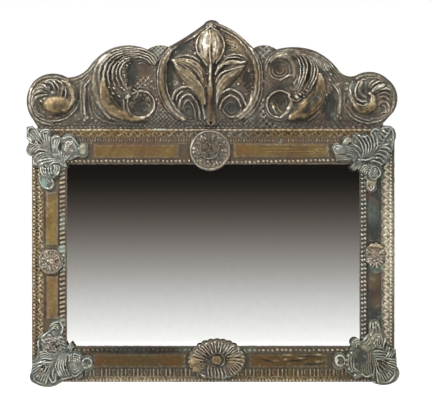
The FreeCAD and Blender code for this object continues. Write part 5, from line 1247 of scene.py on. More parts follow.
def raise_bottom_right(p):
    """Palmette of the bottom right corner: a tip, a ribbed bud, a scalloped shell, a ring and fronds."""
    p.mound(374, 360, 32, 32, 5)
    p.mound(375, 341, 14, 13, 6)
    p.mound(357, 360, 13, 15, 6.5)
    for x, y, rx, ry in ((374, 320.6, 3, 2), (386, 345, 3, 4), (353, 373, 3, 2), (371, 379, 4, 3),
            (386, 360, 3, 2)):
        p.hollow(x, y, rx, ry, 3)
    p.settle()
    # Tip
    p.strokes([(370, 331), (369.6, 326), (371, 321.6)], [(379.6, 331), (379, 327), (377.4, 323)], 4, 0.95,
              8.2, gold=0.4)
    for x, y, rx, ry in ((375.6, 322.4, 1.8, 1.2), (378, 324.6, 1.3, 1.6), (374.2, 327.4, 1.6, 1.3)):
        p.dome(x, y, rx, ry, 9.6, gold=0.7)
    p.lobe([(370.6, 335), (371, 330.4)], [1.6, 2], 9.2)
    # Ribbed bud
    p.strokes([(366, 345), (370, 340.4), (374, 333.6)], [(381, 346), (381.6, 340), (380, 333)], 6, 0.9, 8.6)
    for x, y in ((372.4, 338), (375.8, 339.4), (378.6, 336.4), (373.6, 342.6)):
        p.dome(x, y, 1.4, 1.2, 10)
    for i in range(6):
        angle = math.radians(200 + 27 * i)
        p.ridge([(376 + 3 * math.cos(angle), 349.4 + 2.4 * math.sin(angle)), (376 + 7 * math.cos(angle), 349
                + 5.6 * math.sin(angle))], 0.85, 9.4)
    p.strokes([(385, 337.6), (384, 342), (382.4, 349)], [(386.4, 341), (387, 345), (386, 350)], 2, 0.9, 9.2)
    p.ridge([(362.8, 340.4), (366.6, 336.2)], 1.1, 9.8)
    p.strokes([(363.6, 344), (367, 341), (369, 338)], [(366.4, 345), (369.6, 342), (371, 340)], 2, 0.9, 9.4)
    # Lobe over the glass and the smooth shell on the left
    p.strokes([(352.4, 346), (353, 341.6), (357, 339.6), (360.8, 342)], [(356, 347), (356.6, 344.4),
              (358.4, 343.6), (360, 345)], 3, 0.9, 8.8)
    p.dome(366, 347.8, 6, 4.4, 9)
    p.dome(357.6, 357, 6.4, 8.6, 8)
    p.strokes([(352.4, 351.4), (348.8, 357), (348, 363), (350, 369.4), (354.6, 373.6)], [(356, 352),
              (353, 358), (353, 364), (355, 369), (359, 371)], 3, 0.95, 8.8)
    for i in range(6):
        angle = math.radians(112 + 26 * i)
        p.dome(355 + 8.6 * math.cos(angle), 361.6 + 10.4 * math.sin(angle), 1.5, 1.5, 9.6)
    # Ring on the left
    p.ridge(arc(340, 360.4, 4.6, 5, 60, 400, 16), 1.3, 9.2, gold=0.4)
    p.dome(336.8, 361, 1.8, 3.6, 9.6, gold=0.6, turn=15)
    p.crease([(341.8, 360), (342, 360.4)], 2.2, -4)
    p.dome(344.2, 363.4, 1.1, 1.1, 9.8)
    # Fronds along the bottom
    p.strokes([(362.4, 351), (361.4, 362), (362, 373)], [(370, 352), (369.8, 362), (371.4, 374)], 5, 0.95,
              7.6)
    p.ridge([(361, 373.6), (366, 376), (370.4, 374.4)], 0.95, 9.6)
    p.strokes([(371.4, 357), (373.4, 367), (373, 378)], [(374.6, 357), (378, 366), (380, 377)], 3, 0.95, 9)
    p.dome(354.6, 375, 1.3, 1.3, 9.6)
    p.dome(371.6, 374.2, 1.2, 1.2, 9.6)
    # Fan of the corner
    p.fan(371, 356, 8, 74, 9, 27, 12, 1.15, 10.6)
    p.tint(p.gold, 374, 356, 36, 36, 0.4)
    p.tint(p.gold, 390, 363, 5, 4, 0.7)
    p.ridge([(394.4, 368), (394, 376), (388, 381.4), (380, 381.6)], 0.9, 7.6)
    # Lobes on the right
    p.strokes([(373, 351.4), (380, 350.6), (386.4, 351.4)], [(372.6, 358.6), (380, 358.2), (387, 360)], 4,
              0.95, 9)
    p.strokes([(384.6, 358.4), (387, 354.6), (388.6, 350.6)], [(390, 359), (391.6, 355), (395, 351)], 3,
              0.95, 9.2)
    p.strokes([(388.6, 341), (389.4, 345.6), (388, 350)], [(391.6, 344), (392.4, 347.4), (394.4, 351)], 2,
              0.9, 8.8)
    # Painted highlights on single strokes, studs and the ring, painted shade on the shell and among the
    # fronds, and the whole leaf made duller.
    p.rubs_or_paint_light((371, 331.6, 1.6, 2.6, 0.9), (384.4, 341, 1.4, 5, 1.2, 15), (364.6, 338.4, 1.6, 2.6, 1.2, 40),
           (358, 356, 9, 10, -1.6), (365, 362, 10, 14, -0.9), (336.4, 361, 2.4, 4.4, 1.4),
           (354.6, 375, 1.4, 1.4, 1.4), (382, 366, 8, 8, -0.7), (390, 376, 5, 5, 0.4),
           (374, 358, 34, 34, -0.6), (387.6, 354, 1.6, 4, 1.2, 30))
    p.tint(p.red, 380, 354, 6, 4, 0.4)


# Medallion and rosettes

medallion_px = (210, 150.4)
medallion_radii_px = (20.5, 20.5)
bottom_rosette_px = (217, 359.4)
bottom_rosette_radii_px = (29, 20)
left_rosette_px = (51, 261.6)
left_rosette_radii_px = (13.2, 13.2)
right_rosette_px = (375, 255)
right_rosette_radii_px = (10.6, 13.2)


def oval_loop(cx, cy, rx, ry, scallops=0, depth=0.0, steps=160):
    """Oval loop with an even number of scallops."""
    turn = np.arange(steps) * 2 * math.pi / steps
    reach = 1 - depth * (1 - np.abs(np.sin(scallops * turn / 2))) if scallops else 1 + 0 * turn
    return np.stack([cx + rx * reach * np.cos(turn), cy + ry * reach * np.sin(turn)], axis=1)


def raise_medallion(p):
    """Round medallion: a plain rim, a broad field of small marks, and a curled flower in an open ring."""
    cx, cy = medallion_px
    p.mound(cx, cy, 26, 26, 3)
    p.hollow(cx, cy, 17, 17, 2)
    p.settle()
    rng = np.random.RandomState(61)
    p.ridge(arc(cx, cy, 19.2, 19.2, 0, 360, 48), 1, 7.4)
    for reach, count in ((11.6, 15), (14.2, 19), (16.6, 23)):
        for i in range(count):
            angle = 2 * math.pi * (i + rng.uniform(-0.2, 0.2)) / count
            turn = math.degrees(angle) + rng.uniform(-50, 50)
            p.dome(cx + reach * math.cos(angle), cy + reach * math.sin(angle), rng.uniform(1.2, 2.2),
                   rng.uniform(0.8, 1.1), rng.uniform(3.6, 6.6), turn=turn)
    p.ridge(arc(209.6, 149.4, 9.2, 9.4, 208, -42, 28), 0.95, 7.4)
    p.crumpled(209.4, 149.6, 7.4, 7.4, 30, 6, 63)
    p.tint(p.gold, 209, 150, 13, 13, 0.25)
    # Small marks with painted highlights on them; then painted shade over the field and painted highlights on
    # the rim.
    for x, y, rx, ry, turn in ((201.8, 137.2, 1.2, 2.3, -15), (205.6, 138.6, 1, 1.9, -20),
            (218.9, 138.6, 1.6, 1.4, 0), (194.1, 148.8, 1.9, 1.3, 15), (225.4, 150.8, 1, 1.6, -20),
            (200.6, 161, 2.2, 1.1, -40), (208, 162, 1.6, 1, -30), (216.8, 163.2, 0.9, 2.4, -25)):
        p.dome(x, y, rx, ry, 6.4, turn=turn)
        p.rub_or_paint_light(x, y, rx, ry, 1.6, turn=turn)
    p.rubs_or_paint_light((211, 149, 17, 17, -0.9), (192, 146, 3, 13, 1), (227, 160, 3, 9, 0.8, 35))


def raise_bottom_rosette(p):
    """Oval shell: fine strokes above, broad golden petals at the sides, pleats below and a golden boss."""
    cx, cy = bottom_rosette_px
    p.mound(cx, cy, 36, 26, 4.5)
    for x, y, rx, ry in ((207, 358, 5, 7), (227, 358, 5, 7), (217, 353.6, 6, 2), (218, 366.4, 6, 2)):
        p.hollow(x, y, rx, ry, 2.6)
    p.settle()
    # Strokes over the top
    p.fan(217, 362, 204, 336, 10.5, 25.5, 18, 1.25, 10.4, squash=0.76)
    # Small studs with painted highlights on them.
    for x, y in ((199.4, 345.8), (206.6, 343.4), (215, 342.2), (233.2, 345.8), (238.6, 347), (238.8, 351.4)):
        p.dome(x, y, 1.2, 1.1, 9)
        p.rub_or_paint_light(x, y, 1.2, 1.1, 1)
    # Left side
    p.strokes([(190.6, 355), (198, 355.6), (206, 357.4)], [(191, 358.4), (198, 359.4), (206, 360)], 2, 1.1,
              6.8)
    p.dome(195.4, 361.6, 6, 3.4, 7.4, turn=8)
    p.dome(198.4, 368.2, 6.4, 3.6, 7, turn=-18)
    p.crumpled(200, 366, 6, 5, 12, 7.6, 65)
    p.ridge([(188.6, 361), (190.2, 367), (194.4, 373), (200.6, 376.4), (208, 377.8)], 1.05, 8.4)
    p.dome(203, 375.2, 3.2, 1.2, 9.2, turn=10)
    # Pleats below
    p.strokes([(208.4, 366), (208.2, 371), (208.6, 377)], [(224, 366), (225, 371), (226.4, 377)], 6, 1.2,
              8.4)
    p.strokes([(227, 366), (229.6, 371), (233, 376)], [(232, 362), (238.6, 366), (243, 369.4)], 5, 1, 8.2,
              gold=0.3)
    # Right side
    p.strokes([(226, 356.6), (234, 355.4), (241.6, 355.4)], [(227, 361.4), (236, 362), (243.4, 364)], 3, 1.5,
              7.6, gold=0.5)
    for i in range(7):
        angle = math.radians(-36 + 13 * i)
        p.dome(cx + 26.6 * math.cos(angle), cy + 17.8 * math.sin(angle), 1.9, 1.7, 8)
    # Boss
    p.dome(216.8, 359.4, 5.4, 5, 8.4, gold=0.95, fullness=0.5)
    p.crumpled(216.8, 359.4, 3.2, 3, 8, 9.6, 67, gold=0.95)
    p.ridge(arc(217, 359.6, 7.4, 7, -120, 130, 12), 0.9, 8.4, ends=0.8)
    p.tint(p.gold, 195, 364, 10, 10, 0.7)
    p.tint(p.gold, 236, 361, 9, 9, 0.4)
    # Painted shade about the boss, on the left side and over the whole shell, and painted highlights on
    # single strokes.
    p.rubs_or_paint_light((217, 360, 12, 9, -0.9), (228.6, 347.6, 6, 2, 1.3, -45), (222.4, 345, 1.2, 3, 1),
           (204, 348.6, 7, 1.6, 0.6, 45), (200, 365, 9, 6, -0.9), (192.4, 361, 2.2, 2, 0.7),
           (195, 368.6, 2.2, 1.4, 0.8, 20), (194, 372.6, 5, 1.6, 1.2, 45), (214.4, 372, 1.4, 5, 1),
           (221.4, 373, 1.2, 3.4, 1), (234.6, 372, 4, 1.6, 0.8, 45), (217, 359.4, 5, 5, -0.3),
           (222, 364, 3.4, 1.6, 0.9, -45), (217, 360, 29, 20, -0.45))


def raise_left_rosette(p):
    """Round flower: eight petals with hollow tips, a double rim and a row of studs."""
    cx, cy = left_rosette_px
    p.mound(cx, cy, 18, 18, 4)
    p.settle()
    for i in range(8):
        angle = 2 * math.pi * (i + 0.25) / 8
        x = cx + 7.4 * math.cos(angle)
        y = cy + 7.4 * math.sin(angle)
        p.dome(x, y, 3.6, 2.7, 7.4, turn=math.degrees(angle), gold=0.4 if i == 5 else 0.1)
        p.crease([(x - 1 * math.cos(angle), y - 1 * math.sin(angle)), (x + math.cos(angle), y +
                 math.sin(angle))], 1.5, -2.6)
    p.ridge(arc(cx, cy, 11.4, 11.4, 0, 360, 32), 1, 6.6)
    p.ridge(arc(cx, cy, 9.2, 9.2, -80, 40, 12), 0.8, 6.8)
    for x, y in ((39.6, 262), (43.2, 267.5), (50.1, 268.4), (47.5, 252.5), (51.2, 252.6), (59.3, 257.5),
            (62.8, 258.4), (48.6, 260.7), (46, 263), (57.6, 268)):
        p.dome(x, y, 1.35, 1.35, 8.4)
    p.dome(52.2, 261.6, 3, 3, 8.4, gold=0.2)
    p.crease([(52, 261.6), (52.8, 261.6)], 1.2, -2.4)
    p.rubs_or_paint_light((cx, cy, 13, 13, 0.8))


def raise_right_rosette(p):
    """Uneven shell: a golden ridge along its top, fins on both sides and petals below."""
    cx, cy = right_rosette_px
    p.mound(cx, cy, 15, 18, 4)
    p.settle()
    p.lobe([(367, 246.4), (371, 245.2), (376, 245.4), (381.6, 246.8)], [1.2, 1.7, 1.7, 1.2], 8.4, gold=0.8)
    for x, y, rx, gold in ((369.2, 246, 1.6, 0.3), (373.4, 245.8, 1.5, 0.3), (378.6, 245, 1.8, 0.5)):
        p.dome(x, y, rx, 1.1, 9.4, gold=gold)
    for i in range(5):
        y = 249.6 + 3.1 * i
        p.ridge([(370.6, 253.4 + 1.5 * i), (366.2 + 0.3 * i, y)], 0.95, 7.6)
        p.ridge([(379.4, 253.4 + 1.5 * i), (383.6 - 0.2 * i, y)], 0.95, 7.4, gold=0.2)
    p.dome(cx, 255, 4.6, 4.6, 6.4, petals=7, depth=0.7)
    p.dome(cx + 0.4, 255.4, 1.9, 1.9, 7.8, gold=0.3)
    for x, y in ((374, 260.6), (377.4, 259.4), (371.2, 258.8)):
        p.dome(x, y, 1.8, 1.2, 8.8, turn=-20)
    p.ridge([(370.4, 262), (374, 263.8), (377.6, 262.6)], 1, 8)
    for i in range(6):
        angle = math.radians(22 + 27 * i)
        p.lobe([(cx + 4.4 * math.cos(angle), 260 + 2.6 * math.sin(angle)), (cx + 8.6 * math.cos(angle), 260 +
               7.2 * math.sin(angle))], [1, 1.6], 7.8)
    for x, y in ((382.4, 264.6), (373.6, 266.6), (366.6, 263)):
        p.crease([(x, y), (x + 0.8, y)], 1.2, -2.4)
    p.rubs_or_paint_light((cx, cy, 11, 14, 0.7))


# Rail sheets: developed flat, so that their bent flanges continue the face

bend_radius = 1.5 * mm
rail_pixel = 2.2 * mm
stile_width = 73.0 * mm
rail_width = 76.0 * mm
inner_flange = glass_front - wood_front
glass_clearance = 0.4 * mm
rail_rim_steps = 1.6
opening_left_px = left_edge_px + stile_width / rail_pixel
opening_right_px = right_edge_px - stile_width / rail_pixel
opening_top_px = top_edge_px + rail_width / leaf_pixel
opening_bottom_px = bottom_edge_px - rail_width / leaf_pixel


def bent(out, height, width):
    """Where a point of a developed rail sheet lies: out from the outer edge, forward from the wood."""
    quarter = bend_radius * math.pi / 2
    turn_out = bend_radius - tin
    turn_in = width - turn_out
    lower = np.clip((turn_out - out) / quarter, 0, 1) * math.pi / 2
    upper = np.clip((out - turn_in) / quarter, 0, 1) * math.pi / 2
    angle = upper - lower
    reach = bend_radius + height
    centre = np.clip(out, turn_out, turn_in)
    beyond = np.maximum(turn_out - quarter - out, 0) + np.maximum(out - turn_in - quarter, 0)
    return (centre + reach * np.sin(angle),
            tin - bend_radius + reach * np.cos(angle) - beyond)


def rail_space(side):
    """Function from pixels and a height to a place in space on a bent rail sheet."""
    def to_space(x, y, height):
        if side in ("top", "bottom"):
            from_edge = y - top_edge_px if side == "top" else bottom_edge_px - y
            out, forward = bent(from_edge * leaf_pixel, height, rail_width)
            along = (x - middle_px[0]) * rail_pixel
            rise = half_height - out
            if side == "bottom":
                rise = -rise
        else:
            from_edge = x - left_edge_px if side == "left" else right_edge_px - x
            out, forward = bent(from_edge * rail_pixel, height, stile_width)
            rise = (middle_px[1] - y) * rail_pixel
            along = half_width - out
            if side == "left":
                along = -along
        return np.stack([along, wood_front - forward, rise], axis=1)

    return to_space


def rail_loop(side):
    """Developed outline of a rail sheet, in pixels."""
    outer = flange_depth / rail_pixel
    inner = (inner_flange - glass_clearance) / rail_pixel
    if side in ("top", "bottom"):
        edge, near, way = ((top_edge_px, opening_top_px, 1) if side == "top"
                           else (bottom_edge_px, opening_bottom_px, -1))
        points = [(left_edge_px, edge - way * outer), (right_edge_px, edge - way * outer),
                  (right_edge_px, edge), (opening_right_px, near), (opening_right_px, near + way * inner),
                  (opening_left_px, near + way * inner), (opening_left_px, near), (left_edge_px, edge)]
    else:
        edge, near, way = ((left_edge_px, opening_left_px, 1) if side == "left"
                           else (right_edge_px, opening_right_px, -1))
        points = [(edge - way * outer, top_edge_px), (edge, top_edge_px), (near, opening_top_px),
                  (near + way * inner, opening_top_px), (near + way * inner, opening_bottom_px),
                  (near, opening_bottom_px), (edge, bottom_edge_px), (edge - way * outer, bottom_edge_px)]
    return outline_loop(points + points[:1], rail_rim_steps)


def raise_top_rail(p):
    """Top rail: scrolls over fine ribs, two golden panels and the bead row."""
    rng = np.random.RandomState(71)
    p.cord([(30, 130.2), (396, 130.2)], 1.5, 2.6, 5.4, 0.5)
    for i in range(72):
        x = 34 + 5 * i + rng.uniform(-0.5, 0.5)
        start = (110, 290)[i % 2] + rng.uniform(-30, 30)
        p.ridge(arc(x, 134.2 + rng.uniform(-0.3, 0.3), 1.9, 1.9, start, start + 230, 7), 0.62, 2.5)
        if i % 3 == 0:
            p.dome(x + 2.6, 133, 0.9, 0.9, 2.6, gold=0.3)
    for i in range(138):
        x = 36 + 2.6 * i + rng.uniform(-0.4, 0.4)
        lean = rng.uniform(-1, 1)
        p.ridge([(x - lean, 138.4), (x + lean, 142.6)], 0.62, 2 + rng.uniform(-0.5, 0.5))
    p.ridge([(34, 137.4), (392, 137.4)], 0.6, 1.7)
    p.ridge([(34, 143.6), (392, 143.6)], 0.6, 1.5)
    p.panel(93, 180, 143.6, 159.2, 1.6, 0.9)
    p.panel(233, 330, 142.6, 158, 1.6, 1)
    for i in range(76):
        x = 50 + 4.35 * i + rng.uniform(-0.5, 0.5)
        y = 161.2 if x < 225 else 162.6 - 0.022 * (x - 225)
        p.dome(x, y + rng.uniform(-0.35, 0.35), 1.6 + rng.uniform(-0.25, 0.2), 1.4, 2.8 +
               rng.uniform(-0.5, 0.5))
    p.ridge([(50, 163.6), (380, 163.6)], 0.7, 1)
    p.tint(p.gold, 120, 132.4, 66, 6, 0.9)
    p.tint(p.gold, 308, 132.4, 66, 6, 0.9)
    # Grooves along the right panel, darkened along them as painted shade.
    for y in (147.4, 150.2, 153, 155.4):
        p.crease([(262, y), (280, y + rng.uniform(-0.6, 0.6)), (300, y + rng.uniform(-0.6, 0.6)), (324, y)],
                 0.8, -0.9)
        p.rub_or_paint_light(295, y, 30, 0.9, -1.1)
    p.rubs_or_paint_light((288, 134, 60, 5, -0.7), (140, 161, 60, 3, -0.3))
    p.tint(p.green, 159, 129, 9, 1.8, 0.7)
    p.tints(p.red, (241, 150, 16, 9, 0.5), (97, 150, 7, 8, 0.5), (155, 139, 60, 5, 0.3),
            (290, 141, 60, 5, 0.35))


def raise_bottom_rail(p):
    """Bottom rail: the bead row, two darker panels, reeds and a zigzag border."""
    rng = np.random.RandomState(73)
    for i in range(72):
        x = 52 + 4.6 * i + rng.uniform(-0.5, 0.5)
        p.dome(x, 350 + rng.uniform(-0.3, 0.3), 1.8 + rng.uniform(-0.3, 0.2), 1.4, 2.7 +
               rng.uniform(-0.5, 0.5))
    p.ridge([(50, 352.4), (380, 352.4)], 0.6, 1.3)
    p.panel(92, 187, 352.8, 368.6, 1.5, 0.8)
    p.panel(248, 328, 352.8, 368.6, 1.5, 0.85)
    # Golden ridges made brighter along them, as wear and painted highlight.
    for points in ([(281, 359.6), (289, 358.4)], [(297, 358), (304, 358)], [(310, 361.4), (318, 361.8),
            (325, 359.6)], [(282, 355), (292, 354.6)], [(316, 354), (324, 354.6)], [(271, 360.4),
            (278, 359.8)]):
        p.ridge(points, 1, 2.6, gold=1)
        p.rub_or_paint_light(*np.mean(points, axis=0), 6, 1.2, 1)
    # Grooves, darkened along them as painted shade.
    for points in ([(284, 362), (296, 360.4), (308, 359)], [(300, 356.4), (310, 356.2), (322, 357.2)],
            [(304, 364), (314, 364.4), (324, 363)], [(260, 358), (274, 362.6)]):
        p.crease(points, 1.3, -1.2)
        p.rub_or_paint_light(*np.mean(points, axis=0), 9, 1.6, -1.6)
    for i in range(84):
        x = 46 + 4 * i + rng.uniform(-0.4, 0.4)
        if i % 4 == 1:
            p.ridge(arc(x, 372, 1.6, 2.8, 0, 360, 12), 0.55, 2.4)
            p.dome(x, 372, 0.7, 1, 2.2)
        else:
            p.ridge([(x, 369.2), (x, 375.2)], 0.8 + rng.uniform(-0.1, 0.25), 2.6 + rng.uniform(-0.4, 0.4),
                    ends=0.9)
    p.ridge([(40, 376.4), (388, 376.4)], 0.5, 1.5)
    for i in range(116):
        x = 40 + 3 * i
        p.ridge([(x, 377.4), (x + 1.5, 379.8)] if i % 2 else [(x, 379.8), (x + 1.5, 377.4)], 0.5, 2)
    p.beads([(36, 380.4), (392, 380.4)], 3.4, 1.2, 1.4, base=0.9)
    p.tint(p.gold, 140, 378, 60, 4.6, 0.6)
    p.tint(p.gold, 290, 376, 64, 8, 0.9)
    p.rubs_or_paint_light((140, 350, 58, 4, -3), (281, 349.6, 20, 3, 0.7), (140, 379, 70, 4, 1.7), (290, 379, 60, 4, 1.2))
    p.tints(p.red, (98, 360, 10, 8, 0.6), (172, 360, 14, 8, 0.4), (264, 361, 18, 8, 0.5))
    p.tints(p.green, (184, 350, 8, 2.4, 0.15), (251, 350, 9, 3, 0.15))


def raise_left_rail(p):
    """Left rail: flecks at the edge, small rings, two golden panels and slanting beads."""
    rng = np.random.RandomState(79)
    for i in range(72):
        y = 130 + 3.5 * i
        p.dome(34.2 + rng.uniform(-0.5, 0.5), y + rng.uniform(-0.5, 0.5), 1.3, 0.9, 2.8 +
               rng.uniform(-0.8, 0.8))
        p.crease([(36.4, y), (36.8, y)], 1, -2)
    for i in range(56):
        y = 130 + 4.5 * i + rng.uniform(-0.4, 0.4)
        start = 360 * rng.uniform()
        p.ridge(arc(40.8, y, 1.8, 1.9, start, start + 260, 9), 0.6, 3.2 + rng.uniform(-0.6, 0.6))
        p.dome(40.8 + rng.uniform(-1, 1), y + rng.uniform(-1, 1), 0.8, 0.8, 3.6)
        p.crease([(38.4, y + 2.2), (38.7, y + 2.2)], 0.9, -1.6)
    p.ridge([(43.8, 130), (43.8, 380)], 0.5, 1.2)
    p.crease([(44.8, 130), (44.8, 380)], 0.8, -1)
    p.panel(45.2, 59, 191, 246, 1.6, 1)
    p.panel(46, 59, 275, 320, 1.6, 0.8)
    p.crease([(59.2, 130), (59.2, 380)], 0.8, -1)
    for i in range(54):
        y = 132 + 4.6 * i + rng.uniform(-0.3, 0.3)
        p.lobe([(60.4, y + 0.7), (64.4, y - 0.5)], [1, 1.4, 1.2], 2.6 + rng.uniform(-0.5, 0.4))
        p.dome(64, y - 0.4, 1.2, 1.2, 3)
    p.punched(38.4, 256, 7, 128, 2.3, 0.5, 85)
    p.tint(p.gold, 38, 260, 8, 125, 0.45)
    for x, y, rx, ry, amount in ((62, 250, 5, 6, 0.8), (63, 262, 5, 14, 0.35), (50, 187, 10, 7, 0.2),
            (46, 248, 5, 6, 0.2), (60, 322, 8, 6, 0.5), (62, 150, 5, 30, 0.4), (63, 222, 3, 12, 0.3)):
        p.tint(p.green, x, y, rx, ry, amount)
    p.rubs_or_paint_light((39, 256, 5, 125, 0.3), (62, 256, 4, 125, -0.3), (51, 203, 8, 12, 0.25), (49, 226, 5, 9, -0.5),
           (52, 300, 6, 12, 0.2))
    p.tints(p.red, (51, 283, 9, 10, 0.5), (52, 314, 8, 8, 0.5))


def raise_right_rail(p):
    """Right rail: bead pairs, two slate panels and a border of diagonals between beads."""
    rng = np.random.RandomState(83)
    for i in range(58):
        y = 131 + 4.3 * i + rng.uniform(-0.3, 0.3)
        for x, drop in ((362.2, 0.3), (365, -0.3)):
            p.dome(x, y + drop, 1.35, 1.15 + rng.uniform(-0.2, 0.2), 3 + rng.uniform(-0.6, 0.4))
    p.crease([(367.4, 130), (367.4, 380)], 0.8, -0.8)
    p.panel(368.2, 381, 188, 243, 1.5, 0)
    p.panel(368.2, 381, 270, 322, 1.5, 0)
    p.ridge([(381.8, 130), (381.8, 380)], 0.6, 1.6)
    for i in range(72):
        y = 131 + 3.45 * i
        p.dome(390.8, y, 1.25, 1.3, 3)
        slant = 1.4 if i % 2 else -1.4
        p.ridge([(383.6, y - slant), (388.6, y + slant)], 0.8, 3)
        p.dome(386, y + 1.7, 0.8, 0.8, 2.8)
    p.ridge([(393.2, 130), (393.2, 380)], 0.7, 1.6)
    p.tint(p.gold, 374, 281, 6, 11, 0.6)
    p.tint(p.gold, 376, 302, 5.5, 8, 0.4)
    p.tint(p.gold, 388, 255, 8, 130, 0.55)
    p.rubs_or_paint_light((387, 256, 7, 120, 2.2), (363.6, 256, 4, 125, 0.9), (390.8, 230, 2.4, 60, 1),
           (374.6, 215, 8, 34, -0.3), (374.6, 296, 8, 30, -0.5), (373, 279, 3, 4, 0.8), (371, 228, 4, 8, -1))
    p.tint(p.red, 375, 292, 6.5, 20, 0.4)
    p.tints(p.green, (373, 212, 7, 16, 0.17), (376, 266, 8, 8, 0.5))


# Node helpers

def node(tree, kind, inputs=(), **settings):
    """New node with its settings, and its inputs set or linked."""
    made = tree.nodes.new(kind)
    for key, value in settings.items():
        setattr(made, key, value)
    for key, value in inputs:
        if isinstance(value, bpy.types.NodeSocket):
            tree.links.new(value, made.inputs[key])
        else:
            made.inputs[key].default_value = value
    return made


def mixed(tree, factor, first, second):
    """Blend of two colours."""
    made = node(tree, "ShaderNodeMix", [(0, factor), (6, first), (7, second)], data_type="RGBA")
    return made.outputs[2]


def ranged(tree, value, low, high, start=0.0, end=1.0):
    """Value carried from one range to another, held at its ends."""
    made = node(tree, "ShaderNodeMapRange", [(0, value), (1, low), (2, high), (3, start), (4, end)])
    return made.outputs[0]


def figured(tree, operation, first, second=0.0):
    """Sum, product or power of two values."""
    return node(tree, "ShaderNodeMath", [(0, first), (1, second)], operation=operation).outputs[0]


def noise(tree, place, scale, detail=3.0, roughness=0.55):
    """Cloudy pattern from 0 to 1."""
    made = node(tree, "ShaderNodeTexNoise",
                [("Vector", place), ("Scale", scale), ("Detail", detail), ("Roughness", roughness)])
    return made.outputs["Fac"]


def bumped(tree, height, strength, distance):
    """Normal of a fine relief."""
    made = node(tree, "ShaderNodeBump", [("Height", height), ("Strength", strength), ("Distance", distance)])
    return made.outputs["Normal"]


def stretched(tree, place, across, deep, up):
    """Place squeezed along the three axes."""
    made = node(tree, "ShaderNodeMapping", [("Vector", place), ("Scale", (across, deep, up))])
    return made.outputs["Vector"]


def empty_material(name):
    """Material with no nodes, and its tree."""
    material = bpy.data.materials.new(name)
    material.use_nodes = True
    material.node_tree.nodes.clear()
    return material, material.node_tree


def new_material(name):
    """Material, its node tree, its shader and the place on the piece."""
    material, tree = empty_material(name)
    shader = node(tree, "ShaderNodeBsdfPrincipled")
    node(tree, "ShaderNodeOutputMaterial", [("Surface", shader.outputs[0])])
    place = node(tree, "ShaderNodeTexCoord").outputs["Object"]
    return material, tree, shader, place


def finish_shader(tree, shader, **values):
    """Set or link the shader's inputs by name."""
    for key, value in values.items():
        socket = shader.inputs[key.replace("_", " ")]
        if isinstance(value, bpy.types.NodeSocket):
            tree.links.new(value, socket)
        else:
            socket.default_value = value


# Patina of old tin with painted highlights and painted shade: one group for every sheet

red_brown = (0.15, 0.062, 0.03, 1)
green_grey_dirt_and_shade = (0.048, 0.053, 0.046, 1)
pale_verdigris = (0.33, 0.43, 0.36, 1)


